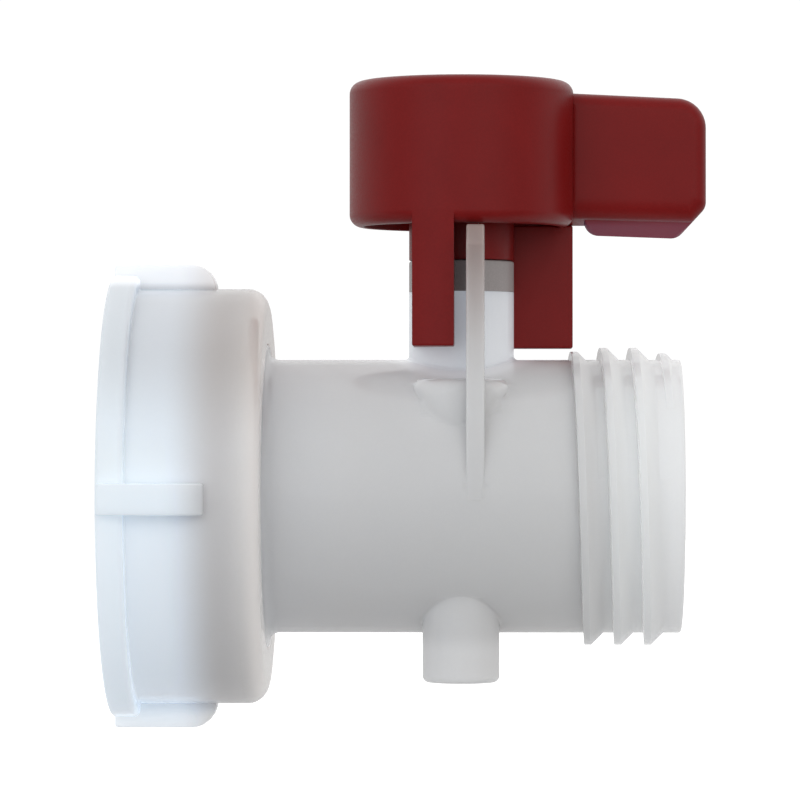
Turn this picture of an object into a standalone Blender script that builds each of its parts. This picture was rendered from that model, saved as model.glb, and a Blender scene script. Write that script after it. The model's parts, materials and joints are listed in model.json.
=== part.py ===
"""Quarter-turn butterfly valve for the outlet of an intermediate bulk container.

The valve screws onto the tank's outlet with a swivelling union nut and ends in a
coarse buttress thread for a cap or hose coupling. A red handle turns a square stem,
which carries a rubber-edged disc across the pipe.

Frame: metres. +X runs from the tank to the outlet, +Z up along the stem towards the
handle. The origin is on the pipe's axis, in the plane of the union nut's mouth.
The valve is shown open, with the disc along the pipe and the lever over the outlet.
"""
import math

import bmesh
import bpy
from mathutils import Matrix, Vector

# Gap that parts lying on or in each other keep, the play of a turning fit, and the chamfer
# of plain rims.
GAP = 0.0003
PLAY = 0.00035
RIM = 0.0004

# Sides of the large, middle and small round parts, and the distance at which points are welded.
ROUND = 40
MIDDLE_ROUND = 32
SMALL_ROUND = 20
WELD = 0.000004

# Buttress threads: 60 mm outside on the outlet, 75 mm inside in the nut.
OUTLET_CREST_R = 0.030
THREAD_HEIGHT = 0.00243
THREAD_PITCH = 0.006
CREST_WIDTH = 0.0014
OUTLET_TURNS = 3.25
OUTLET_LEAD = 0.0035
NUT_THREAD_HEIGHT = 0.0021
NUT_TURNS = 2.1
NUT_LEAD = 0.0008

# Pipe, and where the stem's axis and the outlet's end lie along it from the nut's mouth.
PIPE_WALL = 0.00257
STEM_X = 0.0703
OUTLET_REACH = 0.0442

# Inlet hub of the body, with the split ring, slip ring and gasket that it holds.
HUB_STEP = 0.00303
HUB_NOSE = 0.0056
HUB_FLARE = 0.0022
RING_WIDTH = 0.003
RING_GROOVE = 0.0019
RING_SPLIT = 0.006
RING_ROOM = 0.0012
SLIP_RING = 0.0008
GASKET_WIDTH = 0.0032
GASKET_THICKNESS = 0.0029
GASKET_GROOVE = 0.0012

# Union nut with its grip lugs. Its thread's root stands this far outside the hub.
NUT_STEP = 0.0069
NUT_LENGTH = 0.0313
NUT_WALL = 0.0044
NUT_REAR_ROUND = 0.004
NUT_WEB = 0.005
NUT_CAVITY_STEP = 0.0013
NUT_MOUTH = 0.0008
FLANGE_STEP = 0.0027
FLANGE_WIDTH = 0.0054
FLANGE_ROUND = 0.0013
LUG_COUNT = 4
LUG_STEP = 0.0021
LUG_WIDTH = 0.0062
LUG_FRONT = 0.0003
LUG_FLAT = 0.0156
LUG_ROUND = 0.005

# Stem and its bush, from the inside outwards. The stem's square is milled from the round.
STEM_R = 0.0055
STEM_FLAT = 0.0017
SQUARE_CORNER = 0.0006
SHOULDER = 0.0032
SHOULDER_DEPTH = 0.0106
BUSH_WALL = 0.0023
BUSH_FLANGE = 0.0058
BUSH_ROUND = 0.0006
BUSH_RING_SECTION = 0.0004
RING_SECTION = 0.0007
RING_DEPTHS = (0.0054, 0.0022)
SCREW_HOLE_DEPTH = 0.016
TRUNNION_R = 0.00375
TRUNNION_BUSH_WALL = 0.00185
TRUNNION_BUSH = 0.006
THRUST_PAD = 0.001

# Neck, saddle, stop fin and lower boss of the body. Heights are above the pipe.
NECK_WALL = 0.0025
NECK_RISE = 0.01363
SADDLE_SPREAD = 0.0127
SADDLE_DROP = 0.00397
FIN_THICKNESS = 0.0036
FIN_SIDE = 0.00475
FIN_PROUD = 0.0001
FIN_CORNER = 0.0038
FIN_FOOT = 0.0008
FIN_HEADROOM = 0.00043
BOSS_WALL = 0.00175
BOSS_SPREAD = 0.01185
PAD_DROP = 0.00407
BOSS_RISE = 0.00938
BOSS_ROUND = 0.0012
BOSS_FLOOR = 0.0023

# Disc, its rubber edge and the flats that the edge turns on.
SEAL_CLEARANCE = 0.00025
SEAL_COVER = 0.00135
DISC_GROOVE = 0.0011
DISC_EDGE = 0.005
DISC_TONGUE = 0.0024
DISC_BORDER = 0.0056
DISC_BULGE = 0.0006
DISC_HUB_WALL = 0.0021
EYELET = 0.0011
EYELET_STEP = 0.0008
SEAT_STEP = 0.0008
SEAT_DEPTH = 0.0016
SEAT_PLAY = 0.0004

# Handle: knob, collar and stop legs.
KNOB_R = 0.02265
KNOB_HEIGHT = 0.0294
KNOB_ROUND = 0.0025
KNOB_WALL = 0.0028
KNOB_ROOF = 0.003
COLLAR = 0.0068
RIB_COUNT = 8
RIB_THICKNESS = 0.0018
RIB_RECESS = 0.0046
SOCKET_RECESS = 0.0015
LEG_THICKNESS = 0.0083
LEG_LIFT = 0.00243
LEG_SLACK = 0.00245
LEG_CORNER = 0.0007
LEG_CLEARANCE = 0.0005

# Lever. Its lower edge slants down from a crease to a lip on its far side.
LEVER_LENGTH = 0.02685
LEVER_FRONT = -0.0015
LEVER_THICKNESS = 0.0083
LEVER_DROP = 0.0024
LEVER_SLOPE = math.tan(math.radians(2.8))
LEVER_EDGE = 0.003
LEVER_FAR_EDGE = 0.0008
CREASE_RISE = 0.0016
STEP_RISE = 0.00055
LIP_DROP = 0.0014
LIP_FALL = 0.0007
LIP_START = 0.00235
LIP_ROUND = 0.003
LIP_CORNER = 0.0019
TIP_ROUND = 0.006
TIP_CUT = 0.0061
TIP_CUT_RUN = 0.93

# Screw, washer and cap on top of the handle.
WELL_R = 0.0067
WELL_DEPTH = 0.0108
STEM_SHORT = 0.0035
HANDLE_SCREW_R = 0.0022
SCREW_POINT = 0.001
HEAD_R = 0.0046
HEAD_HEIGHT = 0.003
HEAD_ROUND = 0.0014
CROSS_LENGTH = 0.005
CROSS_WIDTH = 0.001
CROSS_DEPTH = 0.0018
WASHER_ROOM = 0.0007
WASHER = 0.0012
CAP_STEP = 0.0018
CAP_FLANGE = 0.0018
CAP_DEPTH = 0.0046
CAP_WALL = 0.0012

# Radii round the pipe's axis that follow from the sizes above.
PIPE_R = OUTLET_CREST_R - THREAD_HEIGHT
BORE_R = PIPE_R - PIPE_WALL
HUB_R = PIPE_R + HUB_STEP
NUT_ROOT_R = HUB_R + NUT_STEP
NUT_CREST_R = NUT_ROOT_R - NUT_THREAD_HEIGHT
NUT_CAVITY_R = NUT_ROOT_R - NUT_CAVITY_STEP
NUT_BODY_R = NUT_ROOT_R + NUT_WALL
FLANGE_R = NUT_BODY_R + FLANGE_STEP
LUG_R = FLANGE_R + LUG_STEP
RING_R = NUT_CAVITY_R - RING_ROOM
GASKET_R = (BORE_R + HUB_R) / 2

# Places along the pipe that follow.
OUTLET_X = STEM_X + OUTLET_REACH
WEB_FRONT = NUT_LENGTH - NUT_WEB
RING_BACK = WEB_FRONT - SLIP_RING - 2 * GAP
RING_FRONT = RING_BACK - RING_WIDTH
HUB_FRONT = RING_FRONT - HUB_NOSE

# Radii round the stem's axis that follow.
STEM_SQUARE = 2 * (STEM_R - STEM_FLAT)
SQUARE_HOLE = STEM_SQUARE + 2 * GAP
STEM_BORE_R = STEM_R + PLAY
STEM_RING_R = STEM_BORE_R - GAP / 2 - RING_SECTION
BUSH_SPIGOT_R = STEM_R + BUSH_WALL
BUSH_RING_R = BUSH_SPIGOT_R + GAP / 2 - BUSH_RING_SECTION
SHOULDER_R = BUSH_SPIGOT_R - PLAY
NECK_R = BUSH_SPIGOT_R + GAP + NECK_WALL
DISC_HUB_R = STEM_R + DISC_HUB_WALL
EYELET_R = DISC_HUB_R + EYELET_STEP
SEAT_R = EYELET_R + SEAT_STEP
TRUNNION_BUSH_R = TRUNNION_R + TRUNNION_BUSH_WALL
BOSS_R = TRUNNION_BUSH_R + GAP + BOSS_WALL
CAP_R = WELL_R + CAP_STEP
WASHER_R = WELL_R - WASHER_ROOM

# Heights that follow, from the disc up to the knob's top and down to the boss.
SEAL_R = BORE_R - SEAL_CLEARANCE
DISC_TONGUE_R = SEAL_R - SEAL_COVER
DISC_EDGE_R = DISC_TONGUE_R - DISC_GROOVE
SEAT_FLAT = BORE_R - SEAT_DEPTH
EYELET_TOP = SEAT_FLAT - SEAT_PLAY
EYELET_LOW = EYELET_TOP - EYELET
DISC_HUB_END = EYELET_LOW - GAP
SADDLE_TOP = PIPE_R - SADDLE_DROP
NECK_TOP = PIPE_R + NECK_RISE
SHOULDER_BOTTOM = NECK_TOP - SHOULDER_DEPTH
SHOULDER_TOP = SHOULDER_BOTTOM + SHOULDER
BUSH_BOTTOM = NECK_TOP + GAP
BUSH_TOP = BUSH_BOTTOM + BUSH_FLANGE
COLLAR_BOTTOM = BUSH_TOP + GAP
SQUARE_START = COLLAR_BOTTOM + SOCKET_RECESS
KNOB_BOTTOM = COLLAR_BOTTOM + COLLAR
KNOB_TOP = KNOB_BOTTOM + KNOB_HEIGHT
ROOF = KNOB_TOP - KNOB_ROOF
WELL_FLOOR = KNOB_TOP - WELL_DEPTH
STEM_TOP = WELL_FLOOR - STEM_SHORT
LEG_BOTTOM = PIPE_R + LEG_LIFT
FIN_TOP = KNOB_BOTTOM - FIN_HEADROOM
PAD_BOTTOM = PAD_DROP - PIPE_R
BOSS_BOTTOM = -PIPE_R - BOSS_RISE
BOSS_POCKET = BOSS_BOTTOM + BOSS_FLOOR
TRUNNION_END = BOSS_POCKET + THRUST_PAD + 2 * GAP
TRUNNION_BUSH_TOP = TRUNNION_END + TRUNNION_BUSH

# Places of the legs and the lever from the stem's axis that follow.
WING_FRONT = FIN_SIDE + GAP
LEG_SIDE = FIN_SIDE - FIN_THICKNESS - LEG_SLACK
LEVER_REACH = KNOB_R + LEVER_LENGTH
LIP_START_X = KNOB_R + LIP_START
LEVER_TOP = KNOB_TOP - LEVER_DROP
LEVER_CREASE = KNOB_BOTTOM + CREASE_RISE
LEVER_STEP = KNOB_BOTTOM + STEP_RISE
LEVER_BOTTOM = KNOB_BOTTOM - LIP_DROP


def material(name, colour, roughness, metallic=0.0):
    """A plain coloured surface."""
    surface = bpy.data.materials.new(name)
    surface.use_nodes = True
    shader = surface.node_tree.nodes["Principled BSDF"]
    shader.inputs["Base Color"].default_value = (*colour, 1.0)
    shader.inputs["Roughness"].default_value = roughness
    shader.inputs["Metallic"].default_value = metallic
    return surface


def solid(name, bm):
    """Turn a finished bmesh into an object whose faces point outwards."""
    bmesh.ops.recalc_face_normals(bm, faces=bm.faces)
    mesh = bpy.data.meshes.new(name)
    bm.to_mesh(mesh)
    bm.free()
    body = bpy.data.objects.new(name, mesh)
    bpy.context.scene.collection.objects.link(body)
    return body


def place(axis, along, side, up):
    """The point at a height along an axis and two distances across it."""
    if axis == "X":
        return Vector((along, -side, up))
    if axis == "Y":
        return Vector((side, along, up))
    return Vector((up, side, along))


def bridge(bm, rings, closed):
    """Join each ring of vertices to the next; a ring of one vertex is a pole."""
    sides = max(len(ring) for ring in rings)
    pairs = list(zip(rings, rings[1:]))
    if closed:
        pairs.append((rings[-1], rings[0]))
    for low, high in pairs:
        for k in range(sides):
            after = (k + 1) % sides
            corners = (low[k % len(low)], low[after % len(low)], high[after % len(high)], high[k % len(high)])
            corners = list(dict.fromkeys(corners))
            if len(corners) > 2:
                bm.faces.new(corners)


def turned(name, profile, axis="Z", closed=False, sides=ROUND):
    """Sweep (radius, height) points round an axis; a closed profile makes a ring."""
    bm = bmesh.new()
    rings = []
    for radius, along in profile:
        count = sides if radius > 0 else 1
        angles = [2 * math.pi * k / sides for k in range(count)]
        rings.append([bm.verts.new(place(axis, along, radius * math.sin(a), radius * math.cos(a)))
                      for a in angles])
    bridge(bm, rings, closed)
    return solid(name, bm)


def lofted(name, outlines):
    """Join equal outlines of 3-D points and close both ends."""
    bm = bmesh.new()
    rings = [[bm.verts.new(point) for point in outline] for outline in outlines]
    bridge(bm, rings, False)
    bm.faces.new(rings[0])
    bm.faces.new(rings[-1])
    return solid(name, bm)


def extruded(name, outline, axis, start, end):
    """A prism whose outline is given as (side, up) points across its axis."""
    return lofted(name, [[place(axis, along, side, up) for side, up in outline] for along in (start, end)])


def box(name, low, high):
    """A block between two corners."""
    outline = [(low[0], low[2]), (high[0], low[2]), (high[0], high[2]), (low[0], high[2])]
    return extruded(name, outline, "Y", low[1], high[1])


def combine(target, tool, operation):
    """Add a tool to a body, cut it away or keep what they share, and drop the tool."""
    modifier = target.modifiers.new(operation, "BOOLEAN")
    modifier.operation = operation
    modifier.object = tool
    modifier.solver = "EXACT"
    graph = bpy.context.evaluated_depsgraph_get()
    result = bpy.data.meshes.new_from_object(target.evaluated_get(graph))
    target.modifiers.clear()
    target.data = result
    bpy.data.objects.remove(tool)
    return merged(target)


def merged(body):
    """Weld the points that a cut leaves within a few thousandths of a millimetre of each other."""
    bm = bmesh.new()
    bm.from_mesh(body.data)
    bmesh.ops.remove_doubles(bm, verts=bm.verts, dist=WELD)
    bmesh.ops.dissolve_degenerate(bm, edges=bm.edges, dist=WELD)
    bm.to_mesh(body.data)
    bm.free()
    return body


def arc(centre, radius, start, end, steps):
    """Points of an arc between two angles in degrees."""
    angles = [math.radians(start + (end - start) * k / steps) for k in range(steps + 1)]
    return [(centre[0] + radius * math.cos(a), centre[1] + radius * math.sin(a)) for a in angles]


def rounded(corners, steps=3):
    """Round a polygon of (x, y, radius) corners; each gives the same number of points."""
    points = []
    for k, (x, y, radius) in enumerate(corners):
        corner = Vector((x, y))
        back = Vector(corners[k - 1][:2]) - corner
        ahead = Vector(corners[(k + 1) % len(corners)][:2]) - corner
        half = back.angle(ahead) / 2
        reach = min(radius / math.tan(half), 0.49 * back.length, 0.49 * ahead.length)
        first = corner + back.normalized() * reach
        last = corner + ahead.normalized() * reach
        bisector = (back.normalized() + ahead.normalized()).normalized()
        centre = corner + bisector * reach / math.cos(half)
        for step in range(steps + 1):
            chord = first.lerp(last, step / steps) - centre
            points.append(tuple(centre + chord.normalized() * (first - centre).length))
    return points


def obround(radius, spread, steps=9):
    """Outline with two round ends, whose centres lie that far to either side of the middle."""
    return arc((spread, 0), radius, -90, 90, steps) + arc((-spread, 0), radius, 90, 270, steps)


def turn_about(body, axis, angle):
    """Turn a body's mesh about an axis through the origin."""
    body.data.transform(Matrix.Rotation(angle, 4, axis))
    return body


def moved(body, x):
    """Shift a body's mesh along the pipe."""
    body.data.transform(Matrix.Translation((x, 0, 0)))
    return body


def rod(name, radius, low, high, axis="Z", sides=SMALL_ROUND):
    """A plain round bar between two places along an axis."""
    return turned(name, [(0, low), (radius, low), (radius, high), (0, high)], axis, sides=sides)


def ring(name, inner, outer, low, high, axis="Z", sides=SMALL_ROUND):
    """A plain ring of square section."""
    profile = [(inner, low), (outer, low), (outer, high), (inner, high)]
    return turned(name, profile, axis, closed=True, sides=sides)


def torus(name, ring_r, section_r, height, section_sides=6):
    """A rubber ring round the stem's axis."""
    profile = arc((ring_r, height), section_r, 0, 360 - 360 / section_sides, section_sides - 1)
    return turned(name, profile, closed=True, sides=SMALL_ROUND)


def thread(name, start, turns, first_turn, root_r, crest_r, section, fade=0.35):
    """A helical ridge about X that rises at one end and dies out at the other.

    The section is a list of (distance along the axis, spread that grows with the ridge,
    share of the thread's height). Turns are counted from the top towards the front, which
    makes a right-hand thread.
    """
    steps = int(round(turns * ROUND))
    least = 0.02
    outlines = []
    for k in range(steps + 1):
        turn = turns * k / steps
        angle = 2 * math.pi * (first_turn + turn)
        rise = min(1.0, least + turn / fade, least + (turns - turn) / fade)
        outline = []
        for along, spread, share in section:
            height = share * rise if share > 0 else share
            radius = root_r + (crest_r - root_r) * height
            x = start + THREAD_PITCH * turn + along + spread * rise
            outline.append(place("X", x, radius * math.sin(angle), radius * math.cos(angle)))
        outlines.append(outline)
    return lofted(name, outlines)


def make_pipe():
    """The turned outside of the body: hub, split-ring groove, flare and pipe."""
    groove_r = HUB_R - RING_GROOVE
    fillet = min(HUB_FLARE, HUB_STEP - GAP)
    flare = arc((PIPE_R + fillet, NUT_LENGTH + fillet), fillet, 270, 180, 4)
    profile = [(0, HUB_FRONT), (HUB_R - RIM, HUB_FRONT), (HUB_R, HUB_FRONT + RIM),
               (HUB_R, RING_FRONT - GAP), (groove_r, RING_FRONT - GAP), (groove_r, RING_BACK + GAP),
               (HUB_R, RING_BACK + GAP), (HUB_R, NUT_LENGTH), *flare,
               (PIPE_R, OUTLET_X - RIM), (PIPE_R - RIM, OUTLET_X), (0, OUTLET_X)]
    return turned("valve_body", profile, "X")


def make_outlet_thread():
    """The outlet's buttress ridge, upright towards the tank and sloping towards the outlet."""
    draft = 0.0002
    bite = 0.25
    section = [(-draft, 0, -bite), (0, 0, 1), (CREST_WIDTH, 0, 1),
               (CREST_WIDTH, (1 + bite) * THREAD_HEIGHT, -bite)]
    start = OUTLET_X - OUTLET_LEAD - OUTLET_TURNS * THREAD_PITCH
    first_turn = -0.11
    return thread("outlet_thread", start, OUTLET_TURNS, first_turn, PIPE_R, OUTLET_CREST_R, section)


def make_fin():
    """The upright rib in front of the neck that stops the handle at both ends of its turn."""
    root = NECK_R / 2
    inner = NECK_R + PLAY
    outer = PIPE_R + FIN_PROUD
    ledge = NECK_TOP - GAP
    outline = [(-root, 0), (-root, ledge), (-inner, ledge), (-inner, FIN_TOP), (-outer + FIN_CORNER, FIN_TOP),
               (-outer, FIN_TOP - FIN_CORNER), (-outer, FIN_FOOT), (-outer + FIN_FOOT, -FIN_FOOT),
               (-NECK_R, -FIN_FOOT)]
    side = STEM_X + FIN_SIDE
    return lofted("fin", [[Vector((x, y, z)) for y, z in outline] for x in (side - FIN_THICKNESS, side)])


def make_boss():
    """The round lower boss that holds the stem's foot, with a rounded rim."""
    rim = arc((BOSS_R - BOSS_ROUND, BOSS_BOTTOM + BOSS_ROUND), BOSS_ROUND, 0, -90, 3)
    return turned("boss", [(0, 0), (BOSS_R, 0), *rim, (0, BOSS_BOTTOM)], sides=MIDDLE_ROUND)


def make_stem_bore():
    """The stepped bore down the neck: bush seat, shoulder chamber and stem bore."""
    wide = BUSH_SPIGOT_R + GAP
    chamber = SHOULDER_BOTTOM - GAP
    profile = [(0, 0), (STEM_BORE_R, 0), (STEM_BORE_R, chamber), (wide, chamber), (wide, BUSH_TOP),
               (0, BUSH_TOP)]
    return turned("stem_bore", profile, sides=SMALL_ROUND)


def make_valve_body():
    """The one-piece body moulding."""
    body = make_pipe()
    combine(body, make_outlet_thread(), "UNION")
    saddle = extruded("saddle", obround(NECK_R, SADDLE_SPREAD), "Z", 0, SADDLE_TOP)
    pad = extruded("pad", obround(BOSS_R, BOSS_SPREAD), "Z", 0, PAD_BOTTOM)
    neck = rod("neck", NECK_R, 0, NECK_TOP, sides=MIDDLE_ROUND)
    for block in (saddle, pad, neck, make_boss()):
        combine(body, moved(block, STEM_X), "UNION")
    combine(body, make_fin(), "UNION")
    combine(body, rod("bore", BORE_R, 0, OUTLET_X + BORE_R, "X", ROUND), "DIFFERENCE")
    seat_end = math.sqrt(PIPE_R ** 2 - SEAT_R ** 2) - GAP
    for side in (1, -1):
        seat = rod("seat", SEAT_R, side * SEAT_FLAT, side * seat_end)
        combine(body, moved(seat, STEM_X), "UNION")
    combine(body, moved(make_stem_bore(), STEM_X), "DIFFERENCE")
    pocket = rod("pocket", TRUNNION_BUSH_R + GAP, 0, BOSS_POCKET)
    combine(body, moved(pocket, STEM_X), "DIFFERENCE")
    half = GASKET_WIDTH / 2 + GAP
    groove = ring("groove", GASKET_R - half, GASKET_R + half, 0, HUB_FRONT + GASKET_GROOVE, "X", ROUND)
    return combine(body, groove, "DIFFERENCE")


def make_lug():
    """One grip lug of the nut: full height over the flange, then rounded down to the body."""
    root = (NUT_ROOT_R + NUT_BODY_R) / 2
    flat_end = LUG_FRONT + LUG_FLAT
    outline = [(LUG_FRONT, root), (LUG_FRONT, LUG_R - RIM), (LUG_FRONT + RIM, LUG_R)]
    outline += arc((flat_end, LUG_R - LUG_ROUND), LUG_ROUND, 90, 0, 4)
    outline.append((flat_end + LUG_ROUND, root))
    return extruded("lug", outline, "Y", -LUG_WIDTH / 2, LUG_WIDTH / 2)


def make_union_nut():
    """The swivelling nut with its inside thread, rear web and lugs."""
    back = NUT_LENGTH
    opening = HUB_R + PLAY
    shoulder = arc((FLANGE_R - FLANGE_ROUND, FLANGE_WIDTH - FLANGE_ROUND), FLANGE_ROUND, 0, 90, 2)
    rear = arc((NUT_BODY_R - NUT_REAR_ROUND, back - NUT_REAR_ROUND), NUT_REAR_ROUND, 0, 90, 4)
    thread_end = NUT_LEAD + (NUT_TURNS + 0.5) * THREAD_PITCH
    profile = [(NUT_ROOT_R + NUT_MOUTH, 0), (FLANGE_R - RIM, 0), (FLANGE_R, RIM), *shoulder,
               (NUT_BODY_R, FLANGE_WIDTH), *rear, (opening + RIM, back), (opening, back - RIM),
               (opening, WEB_FRONT), (NUT_CAVITY_R, WEB_FRONT), (NUT_CAVITY_R, thread_end),
               (NUT_ROOT_R, thread_end), (NUT_ROOT_R, NUT_MOUTH)]
    nut = turned("union_nut", profile, "X", closed=True)
    for k in range(LUG_COUNT):
        combine(nut, turn_about(make_lug(), "X", 2 * math.pi * k / LUG_COUNT), "UNION")
    draft = 0.0002
    bite = 0.2
    slope = (1 + bite) * NUT_THREAD_HEIGHT
    section = [(0, -slope, -bite), (0, 0, 1), (CREST_WIDTH, 0, 1), (CREST_WIDTH + draft, 0, -bite)]
    first_turn = 0.1
    ridge = thread("nut_thread", NUT_LEAD + slope, NUT_TURNS, first_turn, NUT_ROOT_R, NUT_CREST_R, section)
    return combine(nut, ridge, "UNION")


def make_split_ring():
    """The spring ring in the hub's groove that the nut pulls against."""
    inner = HUB_R - RING_GROOVE + GAP
    body = ring("nut_retaining_ring", inner, RING_R, RING_FRONT, RING_BACK, "X", ROUND)
    half = RING_SPLIT / 2
    split = box("split", (RING_FRONT - GAP, -half, -2 * RING_R), (RING_BACK + GAP, half, 0))
    return combine(body, split, "DIFFERENCE")


def make_slip_ring():
    """The thin washer between the split ring and the nut's web."""
    front = RING_BACK + GAP
    return ring("nut_slip_ring", HUB_R + GAP, RING_R, front, front + SLIP_RING, "X", ROUND)


def make_gasket():
    """The face gasket in the hub's front groove, with its front corners broken."""
    inner = GASKET_R - GASKET_WIDTH / 2
    outer = GASKET_R + GASKET_WIDTH / 2
    back = HUB_FRONT + GASKET_GROOVE - GAP
    front = back - GASKET_THICKNESS
    profile = [(inner, back), (inner, front + RIM), (inner + RIM, front), (outer - RIM, front),
               (outer, front + RIM), (outer, back)]
    return turned("inlet_gasket", profile, "X", closed=True)


def square_bar(name, low, high):
    """The square milled on the stem, with its corners broken."""
    half = STEM_SQUARE / 2
    corners = [(x, y, SQUARE_CORNER) for x, y in ((-half, -half), (half, -half), (half, half), (-half, half))]
    return extruded(name, rounded(corners, steps=1), "Z", low, high)


def make_stem():
    """The stem: square head, journal with ring grooves and shoulder, square shank and round foot."""
    groove_r = STEM_RING_R - RING_SECTION - GAP
    half = RING_SECTION + GAP
    profile = [(0, EYELET_LOW), (STEM_R, EYELET_LOW)]
    for depth in RING_DEPTHS:
        height = SHOULDER_BOTTOM - depth
        profile += [(STEM_R, height - half), (groove_r, height - half), (groove_r, height + half),
                    (STEM_R, height + half)]
    profile += [(STEM_R, SHOULDER_BOTTOM), (SHOULDER_R, SHOULDER_BOTTOM), (SHOULDER_R, SHOULDER_TOP),
                (STEM_R, SHOULDER_TOP), (STEM_R, SQUARE_START), (0, SQUARE_START)]
    stem = turned("stem", profile, sides=SMALL_ROUND)
    combine(stem, square_bar("head", SQUARE_START - GAP, STEM_TOP), "UNION")
    combine(stem, square_bar("shank", -DISC_HUB_END, EYELET_LOW + GAP), "UNION")
    foot = turned("foot", [(0, GAP - DISC_HUB_END), (TRUNNION_R, GAP - DISC_HUB_END),
                           (TRUNNION_R, TRUNNION_END + RIM), (TRUNNION_R - RIM, TRUNNION_END),
                           (0, TRUNNION_END)], sides=SMALL_ROUND)
    combine(stem, foot, "UNION")
    hole = rod("hole", HANDLE_SCREW_R + GAP, STEM_TOP - SCREW_HOLE_DEPTH, STEM_TOP + GAP)
    return combine(stem, hole, "DIFFERENCE")


def make_stem_bush():
    """The grey bush that closes the neck round the stem, with a ring groove in its spigot."""
    bore = STEM_R + GAP
    bottom = SHOULDER_TOP + GAP
    groove_r = BUSH_RING_R - BUSH_RING_SECTION - GAP / 2
    middle = (bottom + NECK_TOP) / 2
    half = BUSH_RING_SECTION + GAP
    profile = [(bore, bottom), (BUSH_SPIGOT_R, bottom), (BUSH_SPIGOT_R, middle - half),
               (groove_r, middle - half), (groove_r, middle + half), (BUSH_SPIGOT_R, middle + half),
               (BUSH_SPIGOT_R, BUSH_BOTTOM), (NECK_R, BUSH_BOTTOM)]
    profile += arc((NECK_R - BUSH_ROUND, BUSH_TOP - BUSH_ROUND), BUSH_ROUND, 0, 90, 3)
    profile.append((bore, BUSH_TOP))
    return turned("stem_bush", profile, closed=True, sides=MIDDLE_ROUND)


def make_bush_ring():
    """The rubber ring in the groove of the bush."""
    middle = (SHOULDER_TOP + GAP + NECK_TOP) / 2
    return torus("bush_oring", BUSH_RING_R, BUSH_RING_SECTION, middle)


def make_trunnion_ring():
    """The rubber ring above the foot's sleeve, which fills the room round the foot."""
    room = TRUNNION_BUSH_R - TRUNNION_R
    section = (room - 2 * GAP / 3) / 2
    middle = TRUNNION_R + (room + GAP) / 2
    return torus("trunnion_oring", middle, section, TRUNNION_BUSH_TOP + section + GAP)


def make_thrust_pad():
    """The slippery pad under the stem's foot."""
    bottom = BOSS_POCKET + GAP
    return rod("thrust_pad", TRUNNION_BUSH_R, bottom, bottom + THRUST_PAD)


def make_disc():
    """The throttle disc: a lens with a tongue round its edge and a hub along the stem."""
    edge = DISC_EDGE / 2
    tongue = DISC_TONGUE / 2
    face = edge + DISC_BULGE
    flat_r = DISC_EDGE_R - DISC_BORDER
    profile = [(0, -face), (flat_r, -face), (DISC_EDGE_R, -edge), (DISC_EDGE_R, -tongue),
               (DISC_TONGUE_R, -tongue), (DISC_TONGUE_R, tongue), (DISC_EDGE_R, tongue), (DISC_EDGE_R, edge),
               (flat_r, face), (0, face)]
    disc = turned("disc", profile, "Y", sides=MIDDLE_ROUND)
    end = DISC_HUB_END
    for side in (1, -1):
        trim = rod("trim", EYELET_R + GAP, side * (end - GAP), side * BORE_R)
        combine(disc, trim, "DIFFERENCE")
    combine(disc, rod("hub", DISC_HUB_R, -end, end), "UNION")
    half = SQUARE_HOLE / 2
    return combine(disc, box("square", (-half, -half, -BORE_R), (half, half, BORE_R)), "DIFFERENCE")


def make_disc_seal():
    """The rubber rim of the disc, with an eyelet round the stem at either pole."""
    half = DISC_EDGE / 2
    slot = DISC_TONGUE / 2 + GAP
    floor = DISC_TONGUE_R + GAP
    inner = DISC_EDGE_R + GAP
    crown = [(math.sqrt(SEAL_R ** 2 - side ** 2), side) for side in (-half, -half / 3, half / 3, half)]
    profile = [(inner, -half), *crown, (inner, half), (inner, slot), (floor, slot), (floor, -slot),
               (inner, -slot)]
    seal = turned("disc_seal", profile, "Y", closed=True, sides=MIDDLE_ROUND)
    reach = 2 * EYELET_R
    for side in (1, -1):
        low, high = sorted((side * (EYELET_TOP - GAP / 3), side * PIPE_R))
        combine(seal, box("trim", (-reach, -reach, low), (reach, reach, high)), "DIFFERENCE")
        combine(seal, rod("notch", DISC_HUB_R + GAP, 0, side * (EYELET_LOW + GAP)), "DIFFERENCE")
        combine(seal, rod("eyelet", EYELET_R, side * EYELET_LOW, side * EYELET_TOP), "UNION")
        hole_r = (STEM_R if side > 0 else TRUNNION_R) + GAP
        combine(seal, rod("hole", hole_r, 0, side * PIPE_R), "DIFFERENCE")
    return seal


def make_leg():
    """The stop leg left of the fin, flush with the knob's rim."""
    left = LEG_SIDE - LEG_THICKNESS
    top = ROOF + PLAY
    outline = [(left, LEG_BOTTOM + LEG_CORNER), (left + LEG_CORNER, LEG_BOTTOM), (LEG_SIDE, LEG_BOTTOM),
               (LEG_SIDE, top), (left, top)]
    leg = extruded("leg", outline, "Y", -2 * KNOB_R, -NECK_R / 2)
    combine(leg, rod("rim", KNOB_R - GAP / 10, 0, KNOB_TOP, sides=ROUND), "INTERSECT")
    return combine(leg, make_neck_space(), "DIFFERENCE")


def make_wing():
    """The stop wing, which stands behind the neck and meets the fin when the valve is shut."""
    back = WING_FRONT + LEG_THICKNESS
    start = NECK_R / 2
    wing = box("wing", (start, WING_FRONT, LEG_BOTTOM), (KNOB_R - GAP / 6, back, KNOB_BOTTOM + 2 * GAP))
    upper = box("upper", (start, WING_FRONT, KNOB_BOTTOM), (KNOB_R, back, ROOF + PLAY))
    combine(upper, rod("core", KNOB_R - KNOB_WALL / 2, 0, KNOB_TOP, sides=ROUND), "INTERSECT")
    combine(wing, upper, "UNION")
    return combine(wing, make_neck_space(), "DIFFERENCE")


def make_neck_space():
    """The room that the legs leave for the neck and its bush."""
    return rod("neck_space", NECK_R + LEG_CLEARANCE, 0, COLLAR_BOTTOM, sides=MIDDLE_ROUND)


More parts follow.
